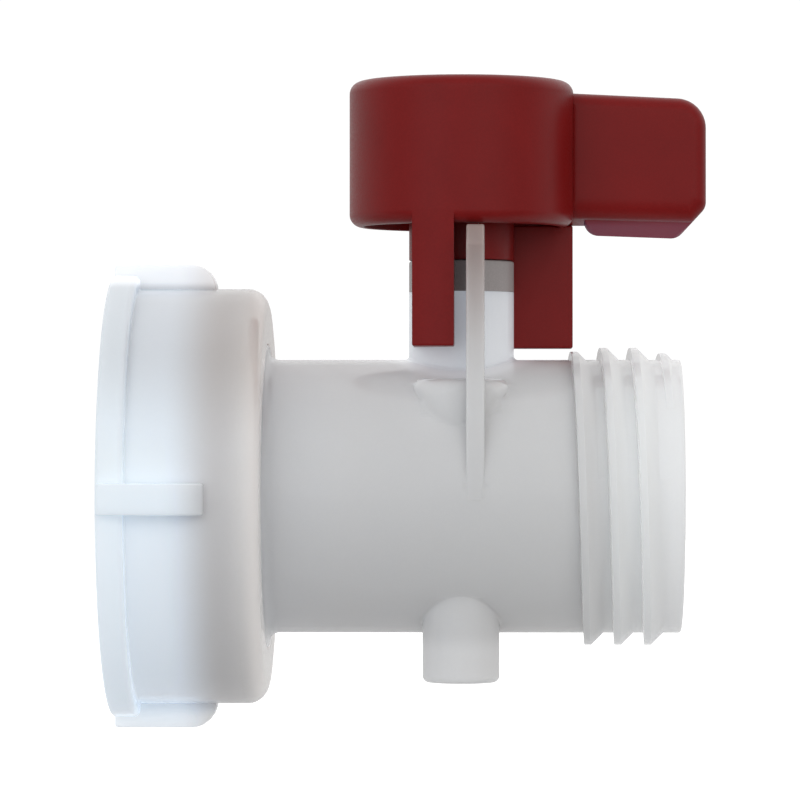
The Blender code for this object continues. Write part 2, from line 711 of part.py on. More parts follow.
def inset_corners(corners, inset):
    """Move every edge of a clockwise polygon inwards and shrink its corner rounds to match."""
    least = GAP / 3
    inner = []
    for k, (x, y, radius) in enumerate(corners):
        corner = Vector((x, y))
        back = (corner - Vector(corners[k - 1][:2])).normalized()
        ahead = (Vector(corners[(k + 1) % len(corners)][:2]) - corner).normalized()
        normal_back = Vector((back.y, -back.x))
        normal_ahead = Vector((ahead.y, -ahead.x))
        shift = (normal_back + normal_ahead) * inset / (1 + normal_back.dot(normal_ahead))
        inner.append((x + shift.x, y + shift.y, max(radius - inset, least)))
    return inner


def lever_outline(along, inset, lip):
    """The lever's side view at one depth; lip goes from 0 at the crease to 1 at the full lip."""
    root = KNOB_R - 0.8 * KNOB_WALL
    least = GAP / 3
    lip_end = LEVER_BOTTOM - LIP_FALL
    cut_top = lip_end + TIP_CUT
    foot_z = LEVER_CREASE + (lip_end - LEVER_CREASE) * lip
    foot_x = LEVER_REACH - (cut_top - foot_z) * TIP_CUT_RUN
    bottom = LEVER_CREASE + (LEVER_BOTTOM - LEVER_CREASE) * lip
    step = LEVER_CREASE + (LEVER_STEP - LEVER_CREASE) * lip
    corners = [(root, LEVER_TOP + (KNOB_R - root) * LEVER_SLOPE, 0),
               (LEVER_REACH, LEVER_TOP - (LEVER_REACH - KNOB_R) * LEVER_SLOPE, TIP_ROUND),
               (LEVER_REACH, cut_top, LEVER_EDGE),
               (foot_x, foot_z, least + (LIP_ROUND - least) * lip),
               (LIP_START_X, bottom, least + (LIP_CORNER - least) * lip),
               (LIP_START_X - least, step, least / 2),
               (root, step, 0)]
    return [Vector((x, along, z)) for x, z in rounded(inset_corners(corners, inset))]


def make_lever():
    """The lever: a plate with a rounded near face and a lip that slants down behind it."""
    back = LEVER_FRONT + LEVER_THICKNESS
    steps = 4
    outlines = []
    for k in range(steps + 1):
        angle = math.radians(90 * k / steps)
        along = LEVER_FRONT + LEVER_EDGE * (1 - math.cos(angle))
        outlines.append(lever_outline(along, LEVER_EDGE * (1 - math.sin(angle)), 0))
    outlines.append(lever_outline(back - LEVER_FAR_EDGE, 0, 1))
    outlines.append(lever_outline(back - 0.3 * LEVER_FAR_EDGE, 0.3 * LEVER_FAR_EDGE, 1))
    outlines.append(lever_outline(back, LEVER_FAR_EDGE, 1))
    return lofted("lever", outlines)


def make_knob():
    """The hollow knob with its collar and the ribs between them."""
    inner = KNOB_R - KNOB_WALL
    centre_r = KNOB_R - KNOB_ROUND
    profile = [(0, KNOB_TOP)]
    profile += arc((centre_r, KNOB_TOP - KNOB_ROUND), KNOB_ROUND, 90, 0, 4)
    profile += arc((centre_r, KNOB_BOTTOM + KNOB_ROUND), KNOB_ROUND, 0, -90, 4)
    profile += [(inner, KNOB_BOTTOM), (inner, ROOF), (NECK_R, ROOF), (NECK_R, COLLAR_BOTTOM),
                (0, COLLAR_BOTTOM)]
    knob = turned("handle", profile)
    half = RIB_THICKNESS / 2
    for k in range(RIB_COUNT):
        rib = box("rib", (NECK_R - GAP, -half, KNOB_BOTTOM + RIB_RECESS), (inner + GAP, half, ROOF + GAP))
        combine(knob, turn_about(rib, "Z", 2 * math.pi * (k + 0.5) / RIB_COUNT), "UNION")
    return knob


def make_handle():
    """The handle moulding: knob, legs and lever, with its socket and the well for the screw."""
    handle = make_knob()
    for arm in (make_leg(), make_wing(), make_lever()):
        combine(handle, arm, "UNION")
    seat = KNOB_TOP - CAP_FLANGE - GAP
    hole_r = HANDLE_SCREW_R + GAP
    well = turned("well", [(0, KNOB_TOP + GAP), (CAP_R + GAP, KNOB_TOP + GAP), (CAP_R + GAP, seat),
                           (WELL_R, seat), (WELL_R, WELL_FLOOR), (hole_r, WELL_FLOOR), (hole_r, SQUARE_START),
                           (0, SQUARE_START)], sides=SMALL_ROUND)
    combine(handle, well, "DIFFERENCE")
    half = SQUARE_HOLE / 2
    combine(handle, box("square", (-half, -half, SQUARE_START), (half, half, STEM_TOP + GAP)), "DIFFERENCE")
    recess = rod("recess", STEM_BORE_R, COLLAR_BOTTOM - GAP, SQUARE_START + GAP)
    return combine(handle, recess, "DIFFERENCE")


def make_handle_screw():
    """The pan-head screw that holds the handle on the stem, with a cross recess."""
    head = WELL_FLOOR + WASHER + 2 * GAP
    top = head + HEAD_HEIGHT
    tip = STEM_TOP - SCREW_HOLE_DEPTH + SCREW_POINT
    dome = arc((HEAD_R - HEAD_ROUND, top - HEAD_ROUND), HEAD_ROUND, 90, 0, 3)
    profile = [(0, top), *dome, (HEAD_R, head), (HANDLE_SCREW_R, head), (HANDLE_SCREW_R, tip + SCREW_POINT),
               (HANDLE_SCREW_R - SCREW_POINT, tip), (0, tip)]
    screw = turned("handle_screw", profile, sides=SMALL_ROUND)
    long = CROSS_LENGTH / 2
    wide = CROSS_WIDTH / 2
    for reach_x, reach_y in ((long, wide), (wide, long)):
        slot = box("slot", (-reach_x, -reach_y, top - CROSS_DEPTH), (reach_x, reach_y, top + GAP))
        combine(screw, slot, "DIFFERENCE")
    return screw


def make_handle_cap():
    """The plug that covers the screw, flush with the knob's top."""
    seat = KNOB_TOP - CAP_FLANGE
    skirt_r = WELL_R - GAP
    inner = skirt_r - CAP_WALL
    end = KNOB_TOP - CAP_DEPTH
    profile = [(0, KNOB_TOP), (CAP_R - RIM, KNOB_TOP), (CAP_R, KNOB_TOP - RIM), (CAP_R, seat),
               (skirt_r, seat), (skirt_r, end), (inner, end), (inner, seat), (0, seat)]
    return turned("handle_cap", profile, sides=SMALL_ROUND)


def finish(body, surface, carrier):
    """Give a piece its material, smooth shading and the axis that carries it."""
    body.data.materials.clear()
    body.data.materials.append(surface)
    body.data.shade_smooth()
    body.data.set_sharp_from_angle(angle=math.radians(32))
    body.parent = carrier


def axis_empty(name, x):
    """An empty on an axis, which carries the pieces that turn about it."""
    empty = bpy.data.objects.new(name, None)
    empty.location = (x, 0, 0)
    bpy.context.scene.collection.objects.link(empty)
    return empty


def build():
    """Make every piece and hang it on its axis."""
    for old in list(bpy.data.objects):
        bpy.data.objects.remove(old)
    natural = material("natural_polyethylene", (0.62, 0.63, 0.65), 0.32)
    red = material("red_polypropylene", (0.157, 0.011, 0.012), 0.42)
    grey = material("grey_acetal", (0.30, 0.26, 0.26), 0.4)
    white = material("white_acetal", (0.70, 0.70, 0.68), 0.35)
    rubber = material("black_rubber", (0.02, 0.02, 0.02), 0.7)
    steel = material("stainless_steel", (0.60, 0.60, 0.60), 0.25, 1.0)

    pipe_axis = axis_empty("pipe_axis", 0)
    for body, surface in ((make_valve_body(), natural), (make_union_nut(), natural),
                          (make_split_ring(), white), (make_slip_ring(), white), (make_gasket(), rubber)):
        finish(body, surface, pipe_axis)

    stem_axis = axis_empty("stem_axis", STEM_X)
    lower_depth, upper_depth = RING_DEPTHS
    lower_ring = torus("stem_oring_lower", STEM_RING_R, RING_SECTION, SHOULDER_BOTTOM - lower_depth)
    upper_ring = torus("stem_oring_upper", STEM_RING_R, RING_SECTION, SHOULDER_BOTTOM - upper_depth)
    sleeve = ring("trunnion_bush", TRUNNION_R + GAP, TRUNNION_BUSH_R, TRUNNION_END, TRUNNION_BUSH_TOP)
    washer_low = WELL_FLOOR + GAP
    washer = ring("handle_washer", HANDLE_SCREW_R + GAP, WASHER_R, washer_low, washer_low + WASHER)
    for body, surface in ((make_disc(), natural), (make_disc_seal(), rubber), (make_stem(), white),
                          (make_stem_bush(), grey), (make_bush_ring(), rubber), (lower_ring, rubber),
                          (upper_ring, rubber), (sleeve, white), (make_trunnion_ring(), rubber),
                          (make_thrust_pad(), white), (make_handle(), red), (washer, steel),
                          (make_handle_screw(), steel), (make_handle_cap(), red)):
        finish(body, surface, stem_axis)


build()
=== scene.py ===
"""Dressed model of a quarter-turn butterfly valve for a bulk liquid container.

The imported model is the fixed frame. Each section below is one piece or a group of like
pieces, in the order in which the valve is put together: body, stem and disc, inlet rings,
union nut, handle, then the studio. Everything is in metres, +X towards the outlet, +Z up.
"""
import json
import math

import bmesh
import bpy
import numpy as np
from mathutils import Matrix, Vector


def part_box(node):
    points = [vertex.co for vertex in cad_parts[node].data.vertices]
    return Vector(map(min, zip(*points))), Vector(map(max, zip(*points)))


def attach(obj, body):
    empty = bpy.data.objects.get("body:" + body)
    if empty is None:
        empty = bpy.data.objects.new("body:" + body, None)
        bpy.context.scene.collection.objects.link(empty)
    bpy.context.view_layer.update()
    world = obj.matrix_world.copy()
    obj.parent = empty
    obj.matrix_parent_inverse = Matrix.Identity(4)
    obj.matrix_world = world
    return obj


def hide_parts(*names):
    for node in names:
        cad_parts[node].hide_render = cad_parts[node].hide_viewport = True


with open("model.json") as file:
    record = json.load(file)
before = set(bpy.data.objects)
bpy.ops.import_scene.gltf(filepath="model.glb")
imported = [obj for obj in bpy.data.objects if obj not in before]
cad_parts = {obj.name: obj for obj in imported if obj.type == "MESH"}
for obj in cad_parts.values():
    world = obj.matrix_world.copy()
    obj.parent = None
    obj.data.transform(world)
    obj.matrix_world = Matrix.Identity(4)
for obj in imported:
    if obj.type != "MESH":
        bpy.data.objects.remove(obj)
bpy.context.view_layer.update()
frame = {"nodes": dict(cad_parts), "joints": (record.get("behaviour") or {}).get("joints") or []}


# The body is one natural polyethylene moulding: a turned pipe with the inlet hub at one end
# and the outlet's coarse thread at the other, and the neck, ledges, stop fin and lower boss
# moulded onto it. Natural polyethylene is milky and lets some light through.
joint_at = {joint["name"]: joint["pos_m"] for joint in frame["joints"]}
stem_x = joint_at["handle_turn"][0]
body_low, body_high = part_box("valve_body")
outlet_x = body_high.x
hub_front = body_low.x
boss_bottom = body_low.z
nut_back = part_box("union_nut")[1].x
neck_r = (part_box("stem_bush")[1].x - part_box("stem_bush")[0].x) / 2

pipe_r = 0.02757
bore_r = 0.025
mid_wall_r = 0.0262
hub_r = 0.0306
rim_round = 0.0004
edge_round = 0.0003
thread_pitch = 0.006
buried = 0.006  # height inside the pipe at which all that stands on it ends
ring_play = 0.0003
ring_groove = (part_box("nut_retaining_ring")[0].x - ring_play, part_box("nut_retaining_ring")[1].x + ring_play)


def rounded(corners, steps=6, support=0.00006):
    """Closed outline from corners (a, b, radius): each corner becomes an arc tangent to both
    of its sides, with one more point on the straight just before and just after it."""
    corners = np.array(corners, float)
    place, radius = corners[:, :2], np.maximum(corners[:, 2:], 1e-6)
    back = np.roll(place, 1, 0) - place
    ahead = np.roll(place, -1, 0) - place
    back /= np.linalg.norm(back, axis=1, keepdims=True)
    ahead /= np.linalg.norm(ahead, axis=1, keepdims=True)
    half = np.arccos(np.clip((back * ahead).sum(1, keepdims=True), -1, 1)) / 2
    reach = radius / np.tan(half)
    first, last = place + back * reach, place + ahead * reach
    bisector = back + ahead
    straight = np.linalg.norm(bisector, axis=1) < 1e-6
    bisector[straight] = np.stack([-ahead[straight, 1], ahead[straight, 0]], -1)
    bisector /= np.linalg.norm(bisector, axis=1, keepdims=True)
    centre = place + bisector * radius / np.sin(half)
    share = np.linspace(0, 1, steps + 1)[None, :, None]
    chord = first[:, None] * (1 - share) + last[:, None] * share - centre[:, None]
    chord /= np.linalg.norm(chord, axis=2, keepdims=True)
    arcs = centre[:, None] + chord * np.linalg.norm(first - centre, axis=1)[:, None, None]
    ends = [(first + back * support)[:, None], arcs, (last + ahead * support)[:, None]]
    return np.concatenate(ends, 1).reshape(-1, 2)


def quads(rows, columns, close_rows, close_columns):
    """Corner numbers of the faces between neighbouring rows and columns of a grid of points."""
    row = np.arange(rows if close_rows else rows - 1)[:, None]
    column = np.arange(columns if close_columns else columns - 1)[None, :]
    next_row, next_column = (row + 1) % rows, (column + 1) % columns
    corners = [row * columns + column, row * columns + next_column,
               next_row * columns + next_column, next_row * columns + column]
    return np.stack(corners, -1).reshape(-1, 4).tolist()


def turned(outline, sides=256, axis="X"):
    """Ring solid: each (radius, along) point of a closed outline goes round the axis, to
    (along, -radius sin a, radius cos a) about X, (radius cos a, along, radius sin a) about Y
    or (radius cos a, radius sin a, along) about Z."""
    outline = np.array(outline, float)
    angle = np.arange(sides) * 2 * np.pi / sides
    on_axis = outline[:, 0] < 3e-6
    radius, along = np.where(on_axis, 0, outline[:, 0])[:, None], outline[:, 1:] + 0 * angle
    if axis == "X":
        points = np.stack([along, -radius * np.sin(angle), radius * np.cos(angle)], -1)
    elif axis == "Y":
        points = np.stack([radius * np.cos(angle), along, radius * np.sin(angle)], -1)
    else:
        points = np.stack([radius * np.cos(angle), radius * np.sin(angle), along], -1)
    return points.reshape(-1, 3), quads(len(outline), sides, True, True)


def helix(section, crest, height, start, turns, first_turn, base_r, outwards, fades, per_turn=192):
    """Thread ridge: a section point (a, h) at turn t goes to x = start + pitch t + a and
    radius base + h, or base - h in a nut. The ridge rises from almost nothing and dies out
    over part of a turn, and its sloping flank, on one side of crest, keeps its angle."""
    section = np.array(section, float)
    side = 1 if outwards else -1
    least_rise = 0.02
    turn = np.linspace(0, turns, int(turns * per_turn))[:, None]
    rise = np.clip(np.minimum(turn / fades[0], (turns - turn) / fades[1]) + least_rise, 0, 1)
    along, up = section[:, 0], section[:, 1]
    root = along - np.sign(along - crest) * height * (1 - rise)
    sloping = np.where(up > 0, crest + (along - crest) * rise, root)
    along = np.where((along - crest) * side > 0, sloping, along)
    radius = base_r + side * np.where(up > 0, up * rise, up)
    angle = 2 * np.pi * (first_turn + turn)
    place = start + thread_pitch * turn + along
    points = np.stack([place, -radius * np.sin(angle), radius * np.cos(angle)], -1)
    rows, columns = points.shape[:2]
    caps = [list(range(columns)), list(range((rows - 1) * columns, rows * columns))]
    return points.reshape(-1, 3), quads(rows, columns, False, True) + caps


def shrunk(outline, inset):
    """A closed outline with every side moved inwards, its points along their mean normals."""
    ahead = np.roll(outline, -1, 0) - outline
    ahead /= np.linalg.norm(ahead, axis=1, keepdims=True)
    area = (outline[:, 0] * np.roll(outline[:, 1], -1) - outline[:, 1] * np.roll(outline[:, 0], -1)).sum()
    normal = np.stack([-ahead[:, 1], ahead[:, 0]], -1) * np.sign(area)
    before = np.roll(normal, 1, 0)
    return outline + (normal + before) * inset / (1 + (normal * before).sum(1, keepdims=True))


def prism(outline, low, high, edge, axis, steps=5, support=0.00006):
    """An outline carried from low to high along an axis, whose rims are quarter circles: at
    an angle a the outline is drawn in by edge (1 - sin a), edge (1 - cos a) from the end."""
    angle = np.linspace(0, np.pi / 2, steps + 1)
    inset = edge * (1 - np.sin(angle))
    depth = edge * (1 - np.cos(angle))
    insets = np.concatenate([inset, [0, 0], inset[::-1]])
    places = np.concatenate([low + depth, [low + edge + support, high - edge - support], high - depth[::-1]])
    rings = []
    for drawn, place in zip(insets, places):
        flat = shrunk(outline, drawn)
        along = np.full(len(flat), place)
        order = {"X": (along, flat[:, 0], flat[:, 1]), "Y": (flat[:, 0], along, flat[:, 1]),
                 "Z": (flat[:, 0], flat[:, 1], along)}[axis]
        rings.append(np.stack(order, -1))
    count = len(outline)
    caps = [list(range(count)), list(range((len(rings) - 1) * count, len(rings) * count))]
    return np.concatenate(rings), quads(len(rings), count, False, True) + caps


def upright(radius, offset, top, foot, edge, inner, sides=160):
    """Round boss standing on the pipe along Z. Its wall meets the pipe in a fillet: round a
    centre that keeps the fillet's radius from both, an arc turns from the wall's side to the
    pipe's normal. Inner gives the rings (radius, height) that close or hollow its top. It
    ends inside the pipe, where the bore is cut out later."""
    angle = (np.arange(sides) * 2 * np.pi / sides)[None, :]
    out_x, out_y = np.cos(angle), np.sin(angle)

    def circle(ring_r, height):
        return np.stack([ring_r * out_x, offset + ring_r * out_y, height + 0 * out_x], -1)

    turn = np.linspace(0, np.pi / 2, 6)
    rings = [circle(ring_r, height) for ring_r, height in inner]
    rings += [circle(radius - edge + edge * math.sin(a), top - edge + edge * math.cos(a)) for a in turn]
    centre_y = offset + (radius + foot) * out_y
    centre_z = np.sqrt((pipe_r + foot) ** 2 - centre_y ** 2)
    low = np.minimum(centre_z, top - 1.2 * edge)
    normal_y, normal_z = centre_y / (pipe_r + foot), centre_z / (pipe_r + foot)
    between = np.arccos(np.clip(out_y * normal_y, -1, 1))
    for share in np.linspace(0, 1, 8):
        wall = np.sin((1 - share) * between) / np.sin(between)
        skin = np.sin(share * between) / np.sin(between)
        x = (radius + foot) * out_x - foot * wall * out_x
        y = centre_y - foot * (wall * out_y + skin * normal_y)
        rings.append(np.stack([x, y, low - foot * skin * normal_z], -1))
    for share in (1, 0):
        rings.append(np.stack([rings[-1][..., 0] * share, offset + (rings[-1][..., 1] - offset) * share,
                               buried + 0 * out_x], -1))
    points = np.concatenate(rings)
    return points.reshape(-1, 3), quads(len(rings), sides, False, True)


def shifted(shell, offset, scale=(1, 1, 1)):
    """A shell mirrored by scale about the origin and then moved."""
    return shell[0] * np.array(scale, float) + np.array(offset, float), shell[1]


def shell_object(shell):
    """A closed shell as an object, its doubles merged and its faces turned outwards."""
    mesh = bpy.data.meshes.new("shell")
    mesh.from_pydata(shell[0].tolist(), [], shell[1])
    work = bmesh.new()
    work.from_mesh(mesh)
    bmesh.ops.remove_doubles(work, verts=work.verts, dist=1e-7)
    bmesh.ops.dissolve_degenerate(work, edges=work.edges, dist=1e-7)
    bmesh.ops.delete(work, geom=[edge for edge in work.edges if not edge.link_faces], context="EDGES")
    bmesh.ops.recalc_face_normals(work, faces=work.faces)
    work.to_mesh(mesh)
    work.free()
    made = bpy.data.objects.new("shell", mesh)
    bpy.context.scene.collection.objects.link(made)
    return made


def piece(name, shells, body, material, stands_for, cutters=(), later=()):
    """One object in place of the nodes in stands_for: its shells united, the cutters taken
    away, the later shells united with what is left, and the one closed surface shaded
    smooth up to the sharp edges."""
    first, *others = [shell_object(shell) for shell in (*shells, *cutters, *later)]
    steps = ["UNION"] * (len(shells) - 1) + ["DIFFERENCE"] * len(cutters) + ["UNION"] * len(later)
    for step, other in zip(steps, others):
        joint = first.modifiers.new(step, "BOOLEAN")
        joint.operation = step
        joint.solver = "MANIFOLD"
        joint.object = other
    mesh = bpy.data.meshes.new_from_object(first.evaluated_get(bpy.context.evaluated_depsgraph_get()))
    mesh.name = name
    for spent in (first, *others):
        bpy.data.meshes.remove(spent.data)
    mesh.shade_smooth()
    mesh.set_sharp_from_angle(angle=math.radians(50))
    made = bpy.data.objects.new(name, mesh)
    bpy.context.scene.collection.objects.link(made)
    mesh.materials.clear()
    mesh.materials.append(material)
    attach(made, body)
    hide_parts(*stands_for)


def moulded_grain():
    """Node group for the skin that a spark-eroded mould leaves on plastic: a fine grain for
    the bump, slow flow marks for the tone, and a spread of roughness, all from noise."""
    group = bpy.data.node_groups.new("moulded grain", "ShaderNodeTree")
    group.interface.new_socket("Vector", in_out="INPUT", socket_type="NodeSocketVector")
    for socket, value in (("Grain Size", 2500.0), ("Flow Size", 60.0)):
        made = group.interface.new_socket(socket, in_out="INPUT", socket_type="NodeSocketFloat")
        made.default_value = value
    for socket in ("Height", "Flow", "Specks"):
        group.interface.new_socket(socket, in_out="OUTPUT", socket_type="NodeSocketFloat")
    nodes, links = group.nodes, group.links
    entry, leave = nodes.new("NodeGroupInput"), nodes.new("NodeGroupOutput")
    fine, flow, specks = (nodes.new("ShaderNodeTexNoise") for _ in range(3))
    for noise, size in ((fine, "Grain Size"), (flow, "Flow Size"), (specks, "Grain Size")):
        links.new(entry.outputs["Vector"], noise.inputs["Vector"])
        links.new(entry.outputs[size], noise.inputs["Scale"])
    fine.inputs["Detail"].default_value = 3.0
    flow.inputs["Detail"].default_value = 4.0
    flow.inputs["Distortion"].default_value = 0.6
    specks.inputs["Detail"].default_value = 0.0
    spread = nodes.new("ShaderNodeMapRange")
    spread.inputs["From Min"].default_value = 0.35
    spread.inputs["From Max"].default_value = 0.75
    links.new(specks.outputs["Fac"], spread.inputs["Value"])
    links.new(fine.outputs["Fac"], leave.inputs["Height"])
    links.new(flow.outputs["Fac"], leave.inputs["Flow"])
    links.new(spread.outputs["Result"], leave.inputs["Specks"])
    return group


grain_group = moulded_grain()


def coat(nodes, material):
    """Gives CAD nodes that show as they are the material in place of their own."""
    for node in nodes:
        frame["nodes"][node].data.materials.clear()
        frame["nodes"][node].data.materials.append(material)


def plastic(name, dark, light, roughness, gloss, grain, bump, flow=60.0, milk=0.0, painted_shading=()):
    """Moulded plastic: tone between two colours by the flow marks and specks, roughness
    spread by the grain, a fine bump, and for milky plastics light scattered under the skin.
    Painted light and shade along the pipe: (x, colour) pairs multiply the tone by place along X."""
    material = bpy.data.materials.new(name)
    material.use_nodes = True
    nodes, links = material.node_tree.nodes, material.node_tree.links
    shader = nodes["Principled BSDF"]
    where = nodes.new("ShaderNodeTexCoord")
    skin = nodes.new("ShaderNodeGroup")
    skin.node_tree = grain_group
    skin.inputs["Grain Size"].default_value = grain
    skin.inputs["Flow Size"].default_value = flow
    links.new(where.outputs["Object"], skin.inputs["Vector"])
    share = nodes.new("ShaderNodeMath")
    share.operation = "MULTIPLY_ADD"
    share.inputs[1].default_value = 0.35
    links.new(skin.outputs["Specks"], share.inputs[0])
    links.new(skin.outputs["Flow"], share.inputs[2])
    tone = nodes.new("ShaderNodeMix")
    tone.data_type = "RGBA"
    tone.inputs["A"].default_value = (*dark, 1.0)
    tone.inputs["B"].default_value = (*light, 1.0)
    links.new(share.outputs["Value"], tone.inputs["Factor"])
    links.new(tone.outputs["Result"], shader.inputs["Base Color"])
    if painted_shading:
        place = nodes.new("ShaderNodeSeparateXYZ")
        links.new(where.outputs["Object"], place.inputs["Vector"])
        span = nodes.new("ShaderNodeMapRange")
        span.inputs["From Min"].default_value = painted_shading[0][0]
        span.inputs["From Max"].default_value = painted_shading[-1][0]
        links.new(place.outputs["X"], span.inputs["Value"])
        ramp = nodes.new("ShaderNodeValToRGB")
        ramp.color_ramp.interpolation = "EASE"
        stops = ramp.color_ramp.elements
        while len(stops) < len(painted_shading):
            stops.new(0.5)
        for stop, (x, colour) in zip(stops, painted_shading):
            stop.position = (x - painted_shading[0][0]) / (painted_shading[-1][0] - painted_shading[0][0])
            stop.color = (*colour, 1.0)
        links.new(span.outputs["Result"], ramp.inputs["Fac"])
        # Painted light and shade: the tone multiplied by the colour ramp along X.
        painted_shading_mix = nodes.new("ShaderNodeMix")
        painted_shading_mix.data_type = "RGBA"
        painted_shading_mix.blend_type = "MULTIPLY"
        painted_shading_mix.inputs["Factor"].default_value = 1.0
        links.new(tone.outputs["Result"], painted_shading_mix.inputs["A"])
        links.new(ramp.outputs["Color"], painted_shading_mix.inputs["B"])
        links.new(painted_shading_mix.outputs["Result"], shader.inputs["Base Color"])
    matt = nodes.new("ShaderNodeMapRange")
    matt.inputs["To Min"].default_value = roughness[0]
    matt.inputs["To Max"].default_value = roughness[1]
    links.new(skin.outputs["Specks"], matt.inputs["Value"])
    links.new(matt.outputs["Result"], shader.inputs["Roughness"])
    if bump:
        relief = nodes.new("ShaderNodeBump")
        relief.inputs["Strength"].default_value = 1.0
        relief.inputs["Distance"].default_value = bump
        links.new(skin.outputs["Height"], relief.inputs["Height"])
        links.new(relief.outputs["Normal"], shader.inputs["Normal"])
    shader.inputs["Specular IOR Level"].default_value = gloss
    if milk:
        shader.inputs["Subsurface Weight"].default_value = milk
        shader.inputs["Subsurface Radius"].default_value = (1.0, 0.98, 0.95)
        shader.inputs["Subsurface Scale"].default_value = 0.005
    return material


def share_of(material, steps):
    """Product of smooth steps over a piece, each (measure, low, high) rising from 0 at low to
    1 at high: X and Z are places, Stem and Pipe are distances from those axes."""
    nodes, links = material.node_tree.nodes, material.node_tree.links
    where = nodes.new("ShaderNodeTexCoord")
    product = None
    for measure, low, high in steps:
        gauge = nodes.new("ShaderNodeVectorMath")
        if measure in ("X", "Z"):
            gauge.operation = "DOT_PRODUCT"
            gauge.inputs[1].default_value = (measure == "X", 0.0, measure == "Z")
            links.new(where.outputs["Object"], gauge.inputs[0])
        else:
            across = nodes.new("ShaderNodeVectorMath")
            across.operation = "MULTIPLY_ADD"
            across.inputs[1].default_value = (1.0, 1.0, 0.0) if measure == "Stem" else (0.0, 1.0, 1.0)
            across.inputs[2].default_value = (-stem_x if measure == "Stem" else 0.0, 0.0, 0.0)
            links.new(where.outputs["Object"], across.inputs[0])
            gauge.operation = "LENGTH"
            links.new(across.outputs["Vector"], gauge.inputs[0])
        step = nodes.new("ShaderNodeMapRange")
        step.interpolation_type = "SMOOTHSTEP"
        step.inputs["From Min"].default_value = low
        step.inputs["From Max"].default_value = high
        links.new(gauge.outputs["Value"], step.inputs["Value"])
        if product is None:
            product = step.outputs["Result"]
            continue
        both = nodes.new("ShaderNodeMath")
        both.operation = "MULTIPLY"
        links.new(product, both.inputs[0])
        links.new(step.outputs["Result"], both.inputs[1])
        product = both.outputs["Value"]
    return product


def blended(material, socket, share, how, colour):
    """Multiplies or adds a colour to what a shader socket gets, as far as the share says."""
    nodes, links = material.node_tree.nodes, material.node_tree.links
    target = nodes["Principled BSDF"].inputs[socket]
    blend = nodes.new("ShaderNodeMix")
    blend.data_type = "RGBA"
    blend.blend_type = how
    blend.inputs["B"].default_value = (*colour, 1.0)
    links.new(share, blend.inputs["Factor"])
    if target.links:
        links.new(target.links[0].from_socket, blend.inputs["A"])
    else:
        blend.inputs["A"].default_value = (0.0, 0.0, 0.0, 1.0)
    links.new(blend.outputs["Result"], target)


def paint_glow(material, ways):
    """Painted glow: emission added where each way says, so that parts shine though no lamp
    lights them there. Each way is the steps that say where, and the colour."""
    for steps, colour in ways:
        blended(material, "Emission Color", share_of(material, steps), "ADD", colour)
    material.node_tree.nodes["Principled BSDF"].inputs["Emission Strength"].default_value = 1.0


# Painted light along the pipe: the tone is held down over most of it, cooler by the nut, and rises to full
# towards the open outlet, where light comes in.
painted_body_shading = [
    (0.031, (0.80, 0.81, 0.83)), (0.05, (0.79, 0.785, 0.79)), (0.094, (0.80, 0.795, 0.795)),
    (0.104, (0.91, 0.915, 0.91)), (0.1145, (1.0, 1.0, 1.0))]
body_plastic = plastic("natural_polyethylene", (0.90, 0.90, 0.905), (0.92, 0.92, 0.92), (0.08, 0.12), 0.5,
                       1800.0, 0.0, milk=0.8, painted_shading=painted_body_shading)

# Painted glow in emission: the neck, saddle, ledges, boss and outlet of the milky walls are lit
# up as though light gathered in them. The top of the neck, in the knob's shade, is painted darker
# and redder: painted shade and red bounce light from the handle.
painted_neck_glow = ([("Stem", 0.0120, 0.0104), ("Z", 0.0225, 0.0265)], (0.03, 0.045, 0.06))
painted_saddle_glow = ([("Stem", 0.028, 0.012), ("Z", 0.008, 0.020)], (0.07, 0.075, 0.08))
painted_ledge_glow = ([("Stem", 0.0165, 0.0130), ("Z", 0.0200, 0.0230)], (0.07, 0.07, 0.075))
painted_boss_glow = ([("Z", -0.0265, -0.031)], (0.08, 0.08, 0.08))
painted_outlet_glow = ([("X", 0.092, 0.106)], (0.07, 0.072, 0.075))
paint_glow(body_plastic, [painted_neck_glow, painted_saddle_glow, painted_ledge_glow, painted_boss_glow, painted_outlet_glow])
# Painted shade: the neck's top under the knob is multiplied darker and redder.
painted_knob_shade = share_of(body_plastic, [("Stem", 0.0105, 0.0112), ("Z", 0.020, 0.060)])
blended(body_plastic, "Base Color", painted_knob_shade, "MULTIPLY", (0.42, 0.30, 0.27))

gasket_groove_x = hub_front + 0.0012
gasket_groove_in, gasket_groove_out = 0.0259, 0.0297
ring_groove_r = 0.0287
groove_round = 0.0002
ring_step = 0.003  # rings along the straight lengths keep the faces from growing long
first_ring = nut_back + 0.003
first_bore_ring = hub_front + 0.002
pipe_outline = rounded([
    (0.0, hub_front, 0), (gasket_groove_in, hub_front, groove_round),
    (gasket_groove_in, gasket_groove_x, groove_round), (gasket_groove_out, gasket_groove_x, groove_round),
    (gasket_groove_out, hub_front, groove_round), (hub_r, hub_front, rim_round),
    (hub_r, ring_groove[0], edge_round), (ring_groove_r, ring_groove[0], groove_round),
    (ring_groove_r, ring_groove[1], groove_round), (hub_r, ring_groove[1], edge_round),
    (hub_r, nut_back, rim_round), (pipe_r, nut_back, 0.0022),
    *[(pipe_r, first_ring + ring_step * k, 0) for k in range(27)],
    (pipe_r, outlet_x, 0.0005), (0.0, outlet_x, 0)])
past_end = 0.001
bore_front, bore_back = hub_front - past_end, outlet_x + past_end
bore = rounded([
    (0.0, bore_front, 0), (bore_r + 0.0013, bore_front, 0), (bore_r, hub_front + 0.0003, 0),
    *[(bore_r, first_bore_ring + ring_step * k, 0) for k in range(32)],
    (bore_r, outlet_x - 0.0004, 0), (bore_r + 0.0014, bore_back, 0), (0.0, bore_back, 0)])

